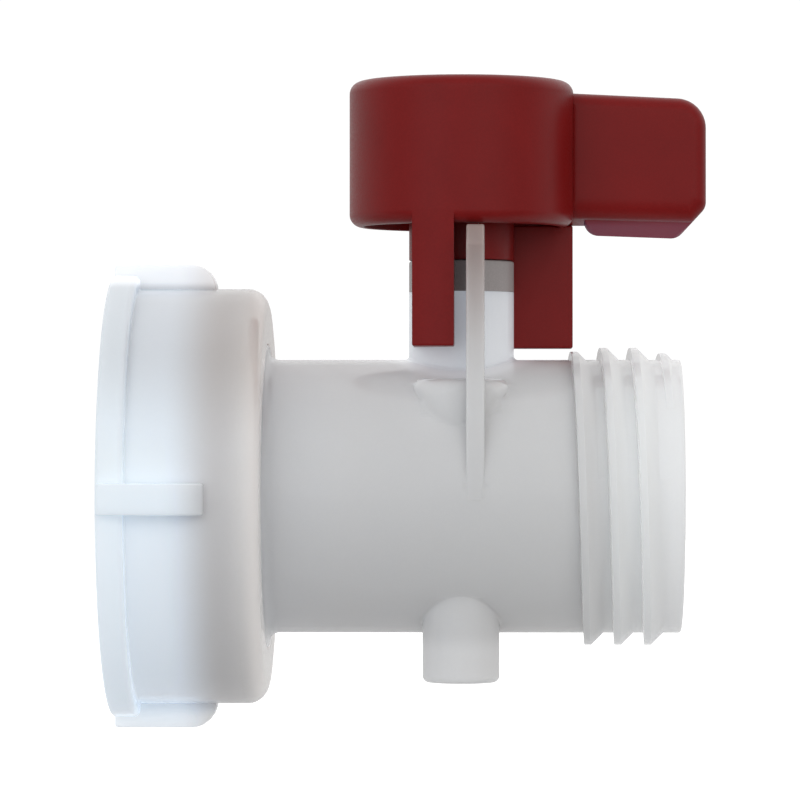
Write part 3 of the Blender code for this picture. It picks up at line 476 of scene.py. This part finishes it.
thread_height = 0.00243
crest_width = 0.0014
sunk = 0.0006  # depth of a thread's root below the surface that it stands on
outlet_turns = 3.25
thread_to_end = 0.0035
outlet_section = rounded([
    (-0.0002, -sunk, 0.00005), (0.0, thread_height, 0.00012), (crest_width, thread_height, 0.00012),
    (crest_width + thread_height + sunk, -sunk, 0.00005)], steps=4)
thread_start = outlet_x - thread_to_end - outlet_turns * thread_pitch
outlet_thread = helix(outlet_section, crest_width, thread_height, thread_start, outlet_turns, -0.11, pipe_r,
                      True, (0.18, 0.28))

bush_flange = 0.0061
neck_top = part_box("stem_bush")[1].z - bush_flange
neck_bore_r = 0.0081
neck_bore_low = neck_top - 0.011
neck = upright(neck_r, 0.0, neck_top, 0.0008, 0.0001,
               [(0.0, neck_bore_low), (neck_bore_r, neck_bore_low), (neck_bore_r, neck_top - 0.0003),
                (neck_bore_r + 0.0003, neck_top)])
ledge_spread = 0.0127
ledge_top = 0.0236
ledge = upright(neck_r, -ledge_spread, ledge_top, 0.0022, 0.0032, [(0.0, ledge_top)])
pad_r = 0.00765
pad_spread = 0.01185
boss_edge = 0.0013
pad = upright(pad_r, -pad_spread, -boss_bottom, 0.0006, boss_edge, [(0.0, -boss_bottom)])

fin_side = stem_x + 0.00475
fin_thickness = 0.0036
fin_top = body_high.z
fin_front = -pipe_r - 0.00004
fin_edge = 0.00045
fin_cut = 0.0038
fin_inner = -neck_r - 0.00035
fin_low = neck_top - 0.0003
in_neck = -0.0091
follow = np.radians(np.linspace(70, 182, 20))[1:]
fin_outline = np.concatenate([
    rounded([(fin_front, -0.0008, 0.0001), (fin_front, fin_top - fin_cut, 0.0012),
             (fin_front + fin_cut, fin_top, 0.0012), (fin_inner, fin_top, 0.0006),
             (fin_inner, fin_low, 0.0006)])[3:-2],
    [(in_neck, fin_low), (in_neck, 0.0247)],
    np.stack([mid_wall_r * np.cos(follow), mid_wall_r * np.sin(follow)], -1)])
fin = prism(fin_outline, fin_side - fin_thickness, fin_side, fin_edge, "X")

boss_end = pad_spread + 0.0004
boss_outline = np.array([[pad_r, -boss_end], [pad_r, boss_end], [-pad_r, boss_end], [-pad_r, -boss_end]])
boss_core = prism(boss_outline, buried, -boss_bottom, boss_edge, "Z")
seat_r = 0.0092
seat_low, seat_high = 0.0234, 0.0253
seat = turned(rounded([(0.0, seat_low, 0), (seat_r, seat_low, 0.0002), (seat_r, seat_high, 0),
                       (0.0, seat_high, 0)], 3), 96, "Z")
on_stem = (stem_x, 0, 0)
body_shells = [turned(pipe_outline), outlet_thread, shifted(neck, on_stem),
               shifted(ledge, on_stem), shifted(ledge, on_stem, (1, -1, 1)),
               shifted(pad, on_stem, (1, 1, -1)), shifted(pad, on_stem, (1, -1, -1)),
               shifted(boss_core, on_stem, (1, 1, -1)), fin]
piece("body_moulding", body_shells, "body", body_plastic, ["valve_body"], [turned(bore)],
      [shifted(seat, on_stem), shifted(seat, on_stem, (1, 1, -1))])


# The grey bush closes the neck round the stem. It is turned from acetal and pressed in, and
# its flange has the neck's width.
bush_low, bush_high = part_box("stem_bush")
bush_plastic = plastic("grey_acetal", (0.34, 0.315, 0.31), (0.44, 0.40, 0.395), (0.35, 0.5), 0.5, 3000.0,
                       0.00001)
bush_bore = 0.0058
spigot_r = 0.0078
flange_low = neck_top + 0.00003
bush_top = bush_high.z + 0.00015
bush = turned(rounded([(bush_bore, bush_low.z, 0.0002), (spigot_r, bush_low.z, edge_round),
                       (spigot_r, flange_low, 0.0001), (neck_r, flange_low, 0.0001),
                       (neck_r, bush_top, 0.0004), (bush_bore, bush_top, 0.0002)]), 192, "Z")
piece("neck_bush", [shifted(bush, on_stem)], "body", bush_plastic, ["stem_bush"])


# The disc is a thin lens of the same milky plastic with a hub along the stem, and a black
# rubber rim stretched round its edge that seals on the bore.
disc_plastic = plastic("disc_polyethylene", (0.55, 0.55, 0.55), (0.64, 0.64, 0.63), (0.3, 0.45), 0.5, 1800.0,
                       0.00001, milk=0.2)
rubber = plastic("black_rubber", (0.012, 0.012, 0.012), (0.03, 0.03, 0.03), (0.5, 0.7), 0.4, 2200.0, 0.00002)
disc_edge = 0.0025
disc_face = 0.0031
disc_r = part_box("disc")[1].x - stem_x
tongue = 0.0012
tongue_floor = disc_r - 0.0011
flat_r = tongue_floor - 0.0056
lens = turned(rounded([(0.0, -disc_face, 0), (flat_r, -disc_face, 0.004),
                       (tongue_floor, -disc_edge, 0.0003), (tongue_floor, -tongue, 0.0001),
                       (disc_r, -tongue, 0.0002), (disc_r, tongue, 0.0002), (tongue_floor, tongue, 0.0001),
                       (tongue_floor, disc_edge, 0.0003), (flat_r, disc_face, 0.004),
                       (0.0, disc_face, 0)]), 192, "Y")
hub_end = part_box("disc")[1].z
disc_hub_r = 0.0076
disc_hub = turned(rounded([(0.0, -hub_end, 0), (disc_hub_r, -hub_end, 0.0004), (disc_hub_r, hub_end, 0.0004),
                           (0.0, hub_end, 0)]), 96, "Z")
polar = np.abs(lens[0][:, 2]) > hub_end
lens[0][polar, 2] = np.sign(lens[0][polar, 2]) * (hub_end - 0.0002)
piece("throttle_disc", [shifted(lens, on_stem), shifted(disc_hub, on_stem)], "shutter",
      disc_plastic, ["disc"])

seal_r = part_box("disc_seal")[1].x - stem_x
seal_play = 0.0003
seal_inner = tongue_floor + seal_play
slot_r, slot_half = disc_r + seal_play, tongue + seal_play
seal_ring = turned(rounded([(seal_inner, -disc_edge, 0.0002), (seal_r - 0.0003, -disc_edge, 0.0007),
                            (seal_r, 0.0, 0.004), (seal_r - 0.0003, disc_edge, 0.0007),
                            (seal_inner, disc_edge, 0.0002), (seal_inner, slot_half, 0.0001),
                            (slot_r, slot_half, 0.0001), (slot_r, -slot_half, 0.0001),
                            (seal_inner, -slot_half, 0.0001)]), 192, "Y")
eyelet_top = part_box("disc_seal")[1].z
near_pole = np.abs(seal_ring[0][:, 2]) > eyelet_top - 0.0001
seal_ring[0][near_pole, 2] = np.sign(seal_ring[0][near_pole, 2]) * (eyelet_top - 0.0001)
eyelet_in, eyelet_out = 0.0058, 0.0084
eyelet_low = eyelet_top - 0.0011
eyelet = turned(rounded([(eyelet_in, eyelet_low, 0.0002), (eyelet_out, eyelet_low, 0.0003),
                         (eyelet_out, eyelet_top, 0.0003), (eyelet_in, eyelet_top, 0.0002)]), 96, "Z")
rim_shells = [shifted(seal_ring, on_stem), shifted(eyelet, on_stem), shifted(eyelet, on_stem, (1, 1, -1))]
piece("disc_rubber_rim", rim_shells, "shutter", rubber, ["disc_seal"])


# Inlet rings: the face gasket in the hub's groove, and the white split ring and slip ring
# behind the nut's web, all seen through the nut's mouth.
white_acetal = plastic("white_acetal", (0.60, 0.60, 0.57), (0.72, 0.72, 0.69), (0.3, 0.45), 0.5, 2600.0,
                       0.00001)
gasket_low, gasket_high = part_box("inlet_gasket")
gasket_r, gasket_half = 0.0278, 0.0016
gasket_in, gasket_out = gasket_r - gasket_half, gasket_r + gasket_half
gasket = turned(rounded([(gasket_in, gasket_low.x, 0.0005), (gasket_out, gasket_low.x, 0.0005),
                         (gasket_out, gasket_high.x, 0.0002), (gasket_in, gasket_high.x, 0.0002)]))
piece("inlet_face_gasket", [gasket], "body", rubber, ["inlet_gasket"])

ring_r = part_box("nut_slip_ring")[1].y
slip_low, slip_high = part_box("nut_slip_ring")[0].x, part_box("nut_slip_ring")[1].x
slip_in = hub_r + ring_play
slip = turned(rounded([(slip_in, slip_low, 0.0001), (ring_r, slip_low, 0.0001),
                       (ring_r, slip_high, 0.0001), (slip_in, slip_high, 0.0001)]))
piece("slip_ring", [slip], "body", white_acetal, ["nut_slip_ring"])
coat(["nut_retaining_ring", "trunnion_bush", "thrust_pad"], white_acetal)


# Rubber rings of the stem, its bush and its foot: plain black rings hidden inside, which
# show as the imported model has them.
coat(["bush_oring", "trunnion_oring", "stem_oring_lower", "stem_oring_upper"], rubber)


# The stem is moulded from glass-filled nylon, off-white with a dull skin. It shows as the
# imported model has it, as neck, disc and handle cover it.
nylon = plastic("filled_nylon", (0.52, 0.50, 0.45), (0.66, 0.64, 0.58), (0.4, 0.6), 0.4, 3000.0, 0.00002)
coat(["stem"], nylon)


# Union nut: a milky moulding like the body, with its flange at the mouth, four grip lugs over it
# and the coarse thread inside. Its bluer tone at the mouth is painted cool light.
# Painted light and shade along the nut: lighter and bluer towards the mouth, where cool light comes in, darker
# towards the back.
painted_nut_shading = [(0.0, (0.95, 0.98, 1.0)), (0.012, (0.94, 0.97, 1.0)), (0.0235, (0.77, 0.755, 0.76)),
             (0.0313, (0.92, 0.895, 0.885))]
nut_plastic = plastic("nut_polyethylene", (0.92, 0.92, 0.92), (0.94, 0.94, 0.94), (0.08, 0.12), 0.5, 1800.0,
                      0.0, milk=0.8, painted_shading=painted_nut_shading)
# Painted glow on the nut: emission at the mouth, flange rim, lower half, top and bottom lugs and back, where
# light is painted in.
painted_mouth_glow = ([("X", 0.0235, 0.012)], (0.06, 0.09, 0.125))
painted_flange_glow = ([("Pipe", 0.0422, 0.0440)], (0.02, 0.03, 0.035))
painted_lower_half_glow = ([("X", 0.0235, 0.012), ("Z", 0.010, -0.012)], (0.07, 0.075, 0.09))
painted_top_lug_glow = ([("Z", 0.0415, 0.0435)], (0.24, 0.23, 0.23))
painted_low_lug_glow = ([("Z", -0.0425, -0.0450)], (0.07, 0.05, 0.03))
painted_back_glow = ([("X", 0.0275, 0.0308)], (0.09, 0.08, 0.075))
paint_glow(nut_plastic, [painted_mouth_glow, painted_flange_glow, painted_lower_half_glow, painted_top_lug_glow, painted_low_lug_glow,
                          painted_back_glow])
# Painted shade: the nut's upper half is multiplied darker and warmer.
painted_upper_shade = share_of(nut_plastic, [("Z", 0.008, 0.030)])
blended(nut_plastic, "Base Color", painted_upper_shade, "MULTIPLY", (0.80, 0.77, 0.75))
nut_root_r = 0.0375
nut_body_r = 0.0419
flange_r = 0.0446
flange_end = 0.0054
nut_opening = hub_r + 0.00035
web_front = nut_back - 0.005
socket_r = 0.0362
thread_end = 0.0164
nut_ring = turned(rounded([
    (nut_root_r, 0.0, 0.0008), (flange_r, 0.0, 0.0006), (flange_r, flange_end, 0.0013),
    (nut_body_r, flange_end, 0.0004), (nut_body_r, nut_back, 0.004), (nut_opening, nut_back, rim_round),
    (nut_opening, web_front, 0.0002), (socket_r, web_front, 0.0006), (socket_r, thread_end, 0.0003),
    (nut_root_r, thread_end, 0.0003)]), 288)
lug_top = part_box("union_nut")[1].z
lug_root = 0.0397
lug_start, lug_end = 0.0003, 0.0209
lug_half = 0.0031
lug_outline = rounded([(lug_start, lug_root, 0.0005), (lug_start, lug_top, 0.0006),
                       (lug_end, lug_top, 0.005), (lug_end, lug_root, 0.0005)])
lug = prism(lug_outline, -lug_half, lug_half, 0.0004, "Y")
nut_height = 0.0021
nut_turns = 2.1
nut_section = rounded([(-nut_height - sunk, -sunk, 0.00005), (0.0, nut_height, 0.0002),
                       (crest_width, nut_height, 0.0002), (crest_width + 0.0002, -sunk, 0.00005)], steps=4)
nut_thread_start = 0.0008 + 1.2 * nut_height
nut_thread = helix(nut_section, 0.0, nut_height, nut_thread_start, nut_turns, 0.1, nut_root_r, False,
                   (0.35, 0.35))


def turned_about_pipe(shell, angle):
    """A shell turned by an angle about the pipe's axis."""
    points, faces = shell
    cos, sin = math.cos(angle), math.sin(angle)
    return points @ np.array([[1, 0, 0], [0, cos, sin], [0, -sin, cos]]), faces


lugs = [turned_about_pipe(lug, quarter * math.pi / 2) for quarter in range(4)]
piece("swivel_nut", [nut_ring, nut_thread, *lugs], "nut", nut_plastic, ["union_nut"])


# Handle: one dark red polypropylene moulding, a hollow knob ribbed inside, with a collar
# round the stem, a leg and a wing that meet the fin, and the lever.
red_plastic = plastic("red_polypropylene", (0.178, 0.0045, 0.0045), (0.225, 0.006, 0.006), (0.30, 0.42),
                      0.27, 2600.0, 0.000015, flow=90.0)
# Painted reflection: a purple glow in emission on the underside of the lever's lip, standing in for the bright
# surroundings that it mirrors.
painted_lip_reflection = ([("X", stem_x + 0.0232, stem_x + 0.0245), ("Z", 0.0565, 0.0545)], (0.035, 0.022, 0.040))
paint_glow(red_plastic, [painted_lip_reflection])
handle_low, handle_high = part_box("handle")
knob_r = stem_x - handle_low.x
knob_top = handle_high.z
knob_bottom = knob_top - 0.0294
collar_low = bush_high.z + 0.0003
knob_roof = knob_top - 0.003
skirt_r = knob_r - 0.0028
cap_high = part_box("handle_cap")[1]
cap_r = cap_high.x - stem_x
well_seat = knob_top - 0.0021
well_floor = knob_top - 0.0108
well_r = 0.0067
cap_well_r = cap_r + 0.0003
screw_hole_r = 0.0025
stem_hole_r, stem_hole_end = 0.00585, collar_low + 0.0015
knob_round = 0.0025
knob = turned(rounded([
    (screw_hole_r, stem_hole_end, 0.0001), (screw_hole_r, well_floor, 0.0001), (well_r, well_floor, 0.0002),
    (well_r, well_seat, 0.0001), (cap_well_r, well_seat, 0.0001), (cap_well_r, knob_top, 0.0003),
    (knob_r, knob_top, knob_round), (knob_r, knob_bottom, knob_round), (skirt_r, knob_bottom, 0.0002),
    (skirt_r, knob_roof, 0.0005), (neck_r, knob_roof, 0.0005), (neck_r, collar_low, 0.0003),
    (stem_hole_r, collar_low, 0.0002), (stem_hole_r, stem_hole_end, 0.0001)], 8), 256, "Z")


def arc_points(radius, start, end, steps):
    """Points of an arc round the stem's axis between two angles in radians."""
    angle = np.linspace(start, end, steps + 1)
    return np.stack([radius * np.cos(angle), radius * np.sin(angle)], -1)


thickness = 0.0083  # of leg, wing and lever
in_roof = knob_roof + 0.0003
arm_edge = 0.0004
leg_side = -0.0013
leg_left = leg_side - thickness
leg_bottom = 0.030
clear_r = neck_r + 0.0005
leg_r = knob_r - 0.00001
leg_out = [-math.acos(x / leg_r) for x in (leg_left, leg_side)]
leg_in = [-math.acos(x / clear_r) for x in (leg_side, leg_left)]
leg_outline = np.concatenate([arc_points(leg_r, *leg_out, 24), arc_points(clear_r, *leg_in, 24)])
leg = prism(leg_outline, leg_bottom, in_roof, arm_edge, "Z")

wing_front = 0.00505
wing_back = wing_front + thickness
wing_end = knob_r - 0.00005
wing_start = 0.0053
wing_round = 0.0006
wing_in = (math.acos(wing_start / clear_r), math.asin(wing_front / clear_r))
wing_corners = rounded([(wing_end, wing_front, wing_round), (wing_end, wing_back, wing_round),
                        (wing_start, wing_back, wing_round), (0.0, 0.0, 0.0)])[:-9]
wing_outline = np.concatenate([wing_corners, arc_points(clear_r, *wing_in, 24)])
wing = prism(wing_outline, leg_bottom, knob_bottom + 0.0006, arm_edge, "Z")

rib_count = 8
rib_half = 0.0009
rib_in, rib_out = neck_r - 0.0003, skirt_r + 0.0003
rib = prism(rounded([(rib_in, -rib_half, 0.0001), (rib_out, -rib_half, 0.0001),
                     (rib_out, rib_half, 0.0001), (rib_in, rib_half, 0.0001)], 2),
            knob_bottom + 0.0046, in_roof, 0.0003, "Z")
ribs = []
for k in range(rib_count):
    spin = 2 * math.pi * (k + 0.5) / rib_count
    cos, sin = math.cos(spin), math.sin(spin)
    ribs.append((rib[0] @ np.array([[cos, sin, 0], [-sin, cos, 0], [0, 0, 1]]), rib[1]))

lever_reach = handle_high.x - stem_x
lever_front = -0.0015
lever_back = lever_front + thickness
lever_top = knob_top - 0.0022
lever_slope = math.tan(math.radians(2.8))
lever_edge = 0.003
far_edge = 0.0008
crease = knob_bottom + 0.0016
crease_fall = 0.0006
front_lift = 0.0012
step_z = knob_bottom + 0.00055
lip_z = knob_bottom - 0.0014
lip_end = lip_z - 0.0007
lip_start = knob_r + 0.00235
cut_top = lip_end + 0.0061
cut_run = 0.93


def lever_side(along, inset, lip, lift=0.0):
    """Side view of the lever at one depth: lip goes from 0 at the crease to 1 at the full
    lip, and lowers the under edge from the crease to the lip along a straight line; lift
    raises the crease where the front rounds off."""
    root = knob_r - 0.0022
    tip_round = 0.006
    least = 0.0001
    lip_round = least + 0.0029 * lip
    lifted = crease + lift
    foot_z = (lifted - crease_fall) * (1 - lip) + lip_end * lip
    foot_x = lever_reach - (cut_top + lift - foot_z) * cut_run
    bottom = lifted + (lip_z - lifted) * lip
    step = lifted + (step_z - lifted) * lip
    top_at_root = lever_top + (knob_r - root) * lever_slope
    top_at_tip = lever_top - (lever_reach - knob_r) * lever_slope
    corners = np.array([
        (root, top_at_root), (lever_reach, top_at_tip), (lever_reach, cut_top + lift), (foot_x, foot_z),
        (lip_start, bottom), (lip_start - least, step), (root, step)])
    radii = np.array([least, tip_round, lever_edge, lip_round, lip_round, least / 2, least])
    drawn = shrunk(corners, inset)
    radii = np.maximum(radii - inset, least / 3)
    flat = rounded(np.column_stack([drawn, radii]), 10, 0.00001)
    return np.stack([flat[:, 0], np.full(len(flat), along), flat[:, 1]], -1)


sides = [lever_side(lever_front + lever_edge * (1 - math.cos(a)), lever_edge * (1 - math.sin(a)), 0.0,
                    front_lift * (1 - math.sin(a))) for a in np.radians(np.linspace(0, 90, 13))]
sides.append(lever_side(lever_front + lever_edge + 0.00006, 0, 0.02))
sides += [lever_side(lever_front + lever_edge + (thickness - far_edge - lever_edge) * share, 0, share)
          for share in (0.5, 0.98, 1.0)]
sides += [lever_side(lever_back - far_edge * (1 - math.sin(a)), far_edge * (1 - math.cos(a)), 1.0)
          for a in np.radians((20, 45, 70, 90))]
side_count = len(sides[0])
lever_ends = [list(range(side_count)), list(range((len(sides) - 1) * side_count, len(sides) * side_count))]
lever = (np.concatenate(sides), quads(len(sides), side_count, False, True) + lever_ends)
piece("handle_moulding", [shifted(shell, on_stem) for shell in (knob, leg, wing, *ribs, lever)], "shutter",
      red_plastic, ["handle"])

cap_under, cap_low = knob_top - 0.0018, knob_top - 0.0046
cap_skirt_in, cap_skirt_out = 0.0052, 0.0064
cap = turned(rounded([(0.0, knob_top, 0), (cap_r, knob_top, 0.0004), (cap_r, cap_under, 0.0002),
                      (cap_skirt_out, cap_under, 0.0001), (cap_skirt_out, cap_low, 0.0002),
                      (cap_skirt_in, cap_low, 0.0002), (cap_skirt_in, cap_under, 0.0002),
                      (0.0, cap_under, 0)]), 160, "Z")
piece("knob_cap", [shifted(cap, on_stem)], "shutter", red_plastic, ["handle_cap"])


# Screw and washer under the cap: bright stainless steel.
steel = bpy.data.materials.new("stainless_steel")
steel.use_nodes = True
steel_nodes, steel_links = steel.node_tree.nodes, steel.node_tree.links
steel_shader = steel_nodes["Principled BSDF"]
steel_shader.inputs["Metallic"].default_value = 1.0
steel_shader.inputs["Base Color"].default_value = (0.58, 0.58, 0.59, 1.0)
steel_where = steel_nodes.new("ShaderNodeTexCoord")
steel_skin = steel_nodes.new("ShaderNodeGroup")
steel_skin.node_tree = grain_group
steel_links.new(steel_where.outputs["Object"], steel_skin.inputs["Vector"])
steel_spread = steel_nodes.new("ShaderNodeMapRange")
steel_spread.inputs["To Min"].default_value = 0.18
steel_spread.inputs["To Max"].default_value = 0.34
steel_links.new(steel_skin.outputs["Specks"], steel_spread.inputs["Value"])
steel_links.new(steel_spread.outputs["Result"], steel_shader.inputs["Roughness"])
coat(["handle_screw", "handle_washer"], steel)


# Studio: a pale floor well below the valve, white surroundings that are dimmer in front,
# and two soft lamps. The camera stands level with the pipe, almost square to it.
floor_mesh = bpy.data.meshes.new("studio_floor")
half_floor, floor_z = 6.0, -0.16
floor_corners = [(x * half_floor, y * half_floor, floor_z) for x, y in ((-1, -1), (1, -1), (1, 1), (-1, 1))]
floor_mesh.from_pydata(floor_corners, [], [(0, 1, 2, 3)])
floor = bpy.data.objects.new("studio_floor", floor_mesh)
bpy.context.scene.collection.objects.link(floor)
floor_paint = bpy.data.materials.new("floor_paint")
floor_paint.use_nodes = True
floor_shader = floor_paint.node_tree.nodes["Principled BSDF"]
floor_shader.inputs["Roughness"].default_value = 0.9
floor_nodes, floor_links = floor_paint.node_tree.nodes, floor_paint.node_tree.links
floor_where = floor_nodes.new("ShaderNodeTexCoord")
floor_split = floor_nodes.new("ShaderNodeSeparateXYZ")
floor_links.new(floor_where.outputs["Object"], floor_split.inputs["Vector"])
floor_tone = floor_nodes.new("ShaderNodeMapRange")
floor_tone.interpolation_type = "SMOOTHSTEP"
floor_tone.inputs["From Min"].default_value = -0.2
floor_tone.inputs["From Max"].default_value = 0.1
floor_tone.inputs["To Min"].default_value = 0.22
floor_tone.inputs["To Max"].default_value = 0.8
floor_links.new(floor_split.outputs["Y"], floor_tone.inputs["Value"])
floor_links.new(floor_tone.outputs["Result"], floor_shader.inputs["Base Color"])
floor_glow = floor_nodes.new("ShaderNodeEmission")
floor_glow.inputs["Strength"].default_value = 1.3
floor_path = floor_nodes.new("ShaderNodeLightPath")
floor_choice = floor_nodes.new("ShaderNodeMixShader")
floor_links.new(floor_path.outputs["Is Camera Ray"], floor_choice.inputs["Fac"])
floor_links.new(floor_shader.outputs["BSDF"], floor_choice.inputs[1])
floor_links.new(floor_glow.outputs["Emission"], floor_choice.inputs[2])
floor_links.new(floor_choice.outputs["Shader"], floor_nodes["Material Output"].inputs["Surface"])
floor_mesh.materials.append(floor_paint)

world = bpy.data.worlds.new("studio")
bpy.context.scene.world = world
world.use_nodes = True
nodes, links = world.node_tree.nodes, world.node_tree.links
direction = nodes.new("ShaderNodeTexCoord")
split = nodes.new("ShaderNodeSeparateXYZ")
links.new(direction.outputs["Generated"], split.inputs["Vector"])
steps = []
for way, low, high in (("Y", -0.3, 0.5), ("Z", -0.05, 0.35)):
    step = nodes.new("ShaderNodeMapRange")
    step.interpolation_type = "SMOOTHSTEP"
    step.inputs["From Min"].default_value = low
    step.inputs["From Max"].default_value = high
    links.new(split.outputs[way], step.inputs["Value"])
    steps.append(step)
above = nodes.new("ShaderNodeMath")
above.operation = "MULTIPLY"
links.new(steps[0].outputs["Result"], above.inputs[0])
links.new(steps[1].outputs["Result"], above.inputs[1])
sky = nodes.new("ShaderNodeMath")
sky.operation = "MULTIPLY_ADD"
sky.inputs[1].default_value = 0.5
sky.inputs[2].default_value = 0.5
links.new(above.outputs["Value"], sky.inputs[0])
nodes["Background"].inputs["Color"].default_value = (1.0, 1.0, 1.0, 1.0)
links.new(sky.outputs["Value"], nodes["Background"].inputs["Strength"])
seen = nodes.new("ShaderNodeBackground")
seen.inputs["Strength"].default_value = 1.3
path = nodes.new("ShaderNodeLightPath")
choose = nodes.new("ShaderNodeMixShader")
links.new(path.outputs["Is Camera Ray"], choose.inputs["Fac"])
links.new(nodes["Background"].outputs["Background"], choose.inputs[1])
links.new(seen.outputs["Background"], choose.inputs[2])
links.new(choose.outputs["Shader"], nodes["World Output"].inputs["Surface"])


def lamp(name, place, target, size, power, colour):
    """A square soft lamp at a place, turned towards a target, that gloss doesn't mirror."""
    data = bpy.data.lights.new(name, "AREA")
    data.size = size
    data.energy = power
    data.color = colour
    made = bpy.data.objects.new(name, data)
    bpy.context.scene.collection.objects.link(made)
    made.location = place
    made.visible_glossy = False
    aim = np.array(target, float) - np.array(place, float)
    tilt = math.acos(-aim[2] / np.linalg.norm(aim))
    made.rotation_euler = (tilt, 0, math.atan2(aim[0], -aim[1]) + math.pi)


centre = (0.06, 0.0, 0.02)
lamp("left", (-0.55, -1.1, 0.22), centre, 1.0, 4.9, (0.88, 0.95, 1.0))
lamp("right", (0.6, -1.1, 0.25), centre, 1.0, 4.2, (1.0, 0.99, 0.97))

camera_data = bpy.data.cameras.new("camera")
camera_data.lens = 196.2
camera_data.sensor_width = 36.0
camera = bpy.data.objects.new("camera", camera_data)
bpy.context.scene.collection.objects.link(camera)
camera.location = (stem_x + 0.0081, -0.8826, 0.0134)
camera_target = (stem_x - 0.01245, 0.0, 0.01945)
look = np.array(camera_target) - np.array(camera.location)
camera.rotation_euler = (math.acos(-look[2] / np.linalg.norm(look)), 0, math.atan2(-look[0], look[1]))
bpy.context.scene.camera = camera
bpy.context.scene.view_settings.view_transform = "Standard"
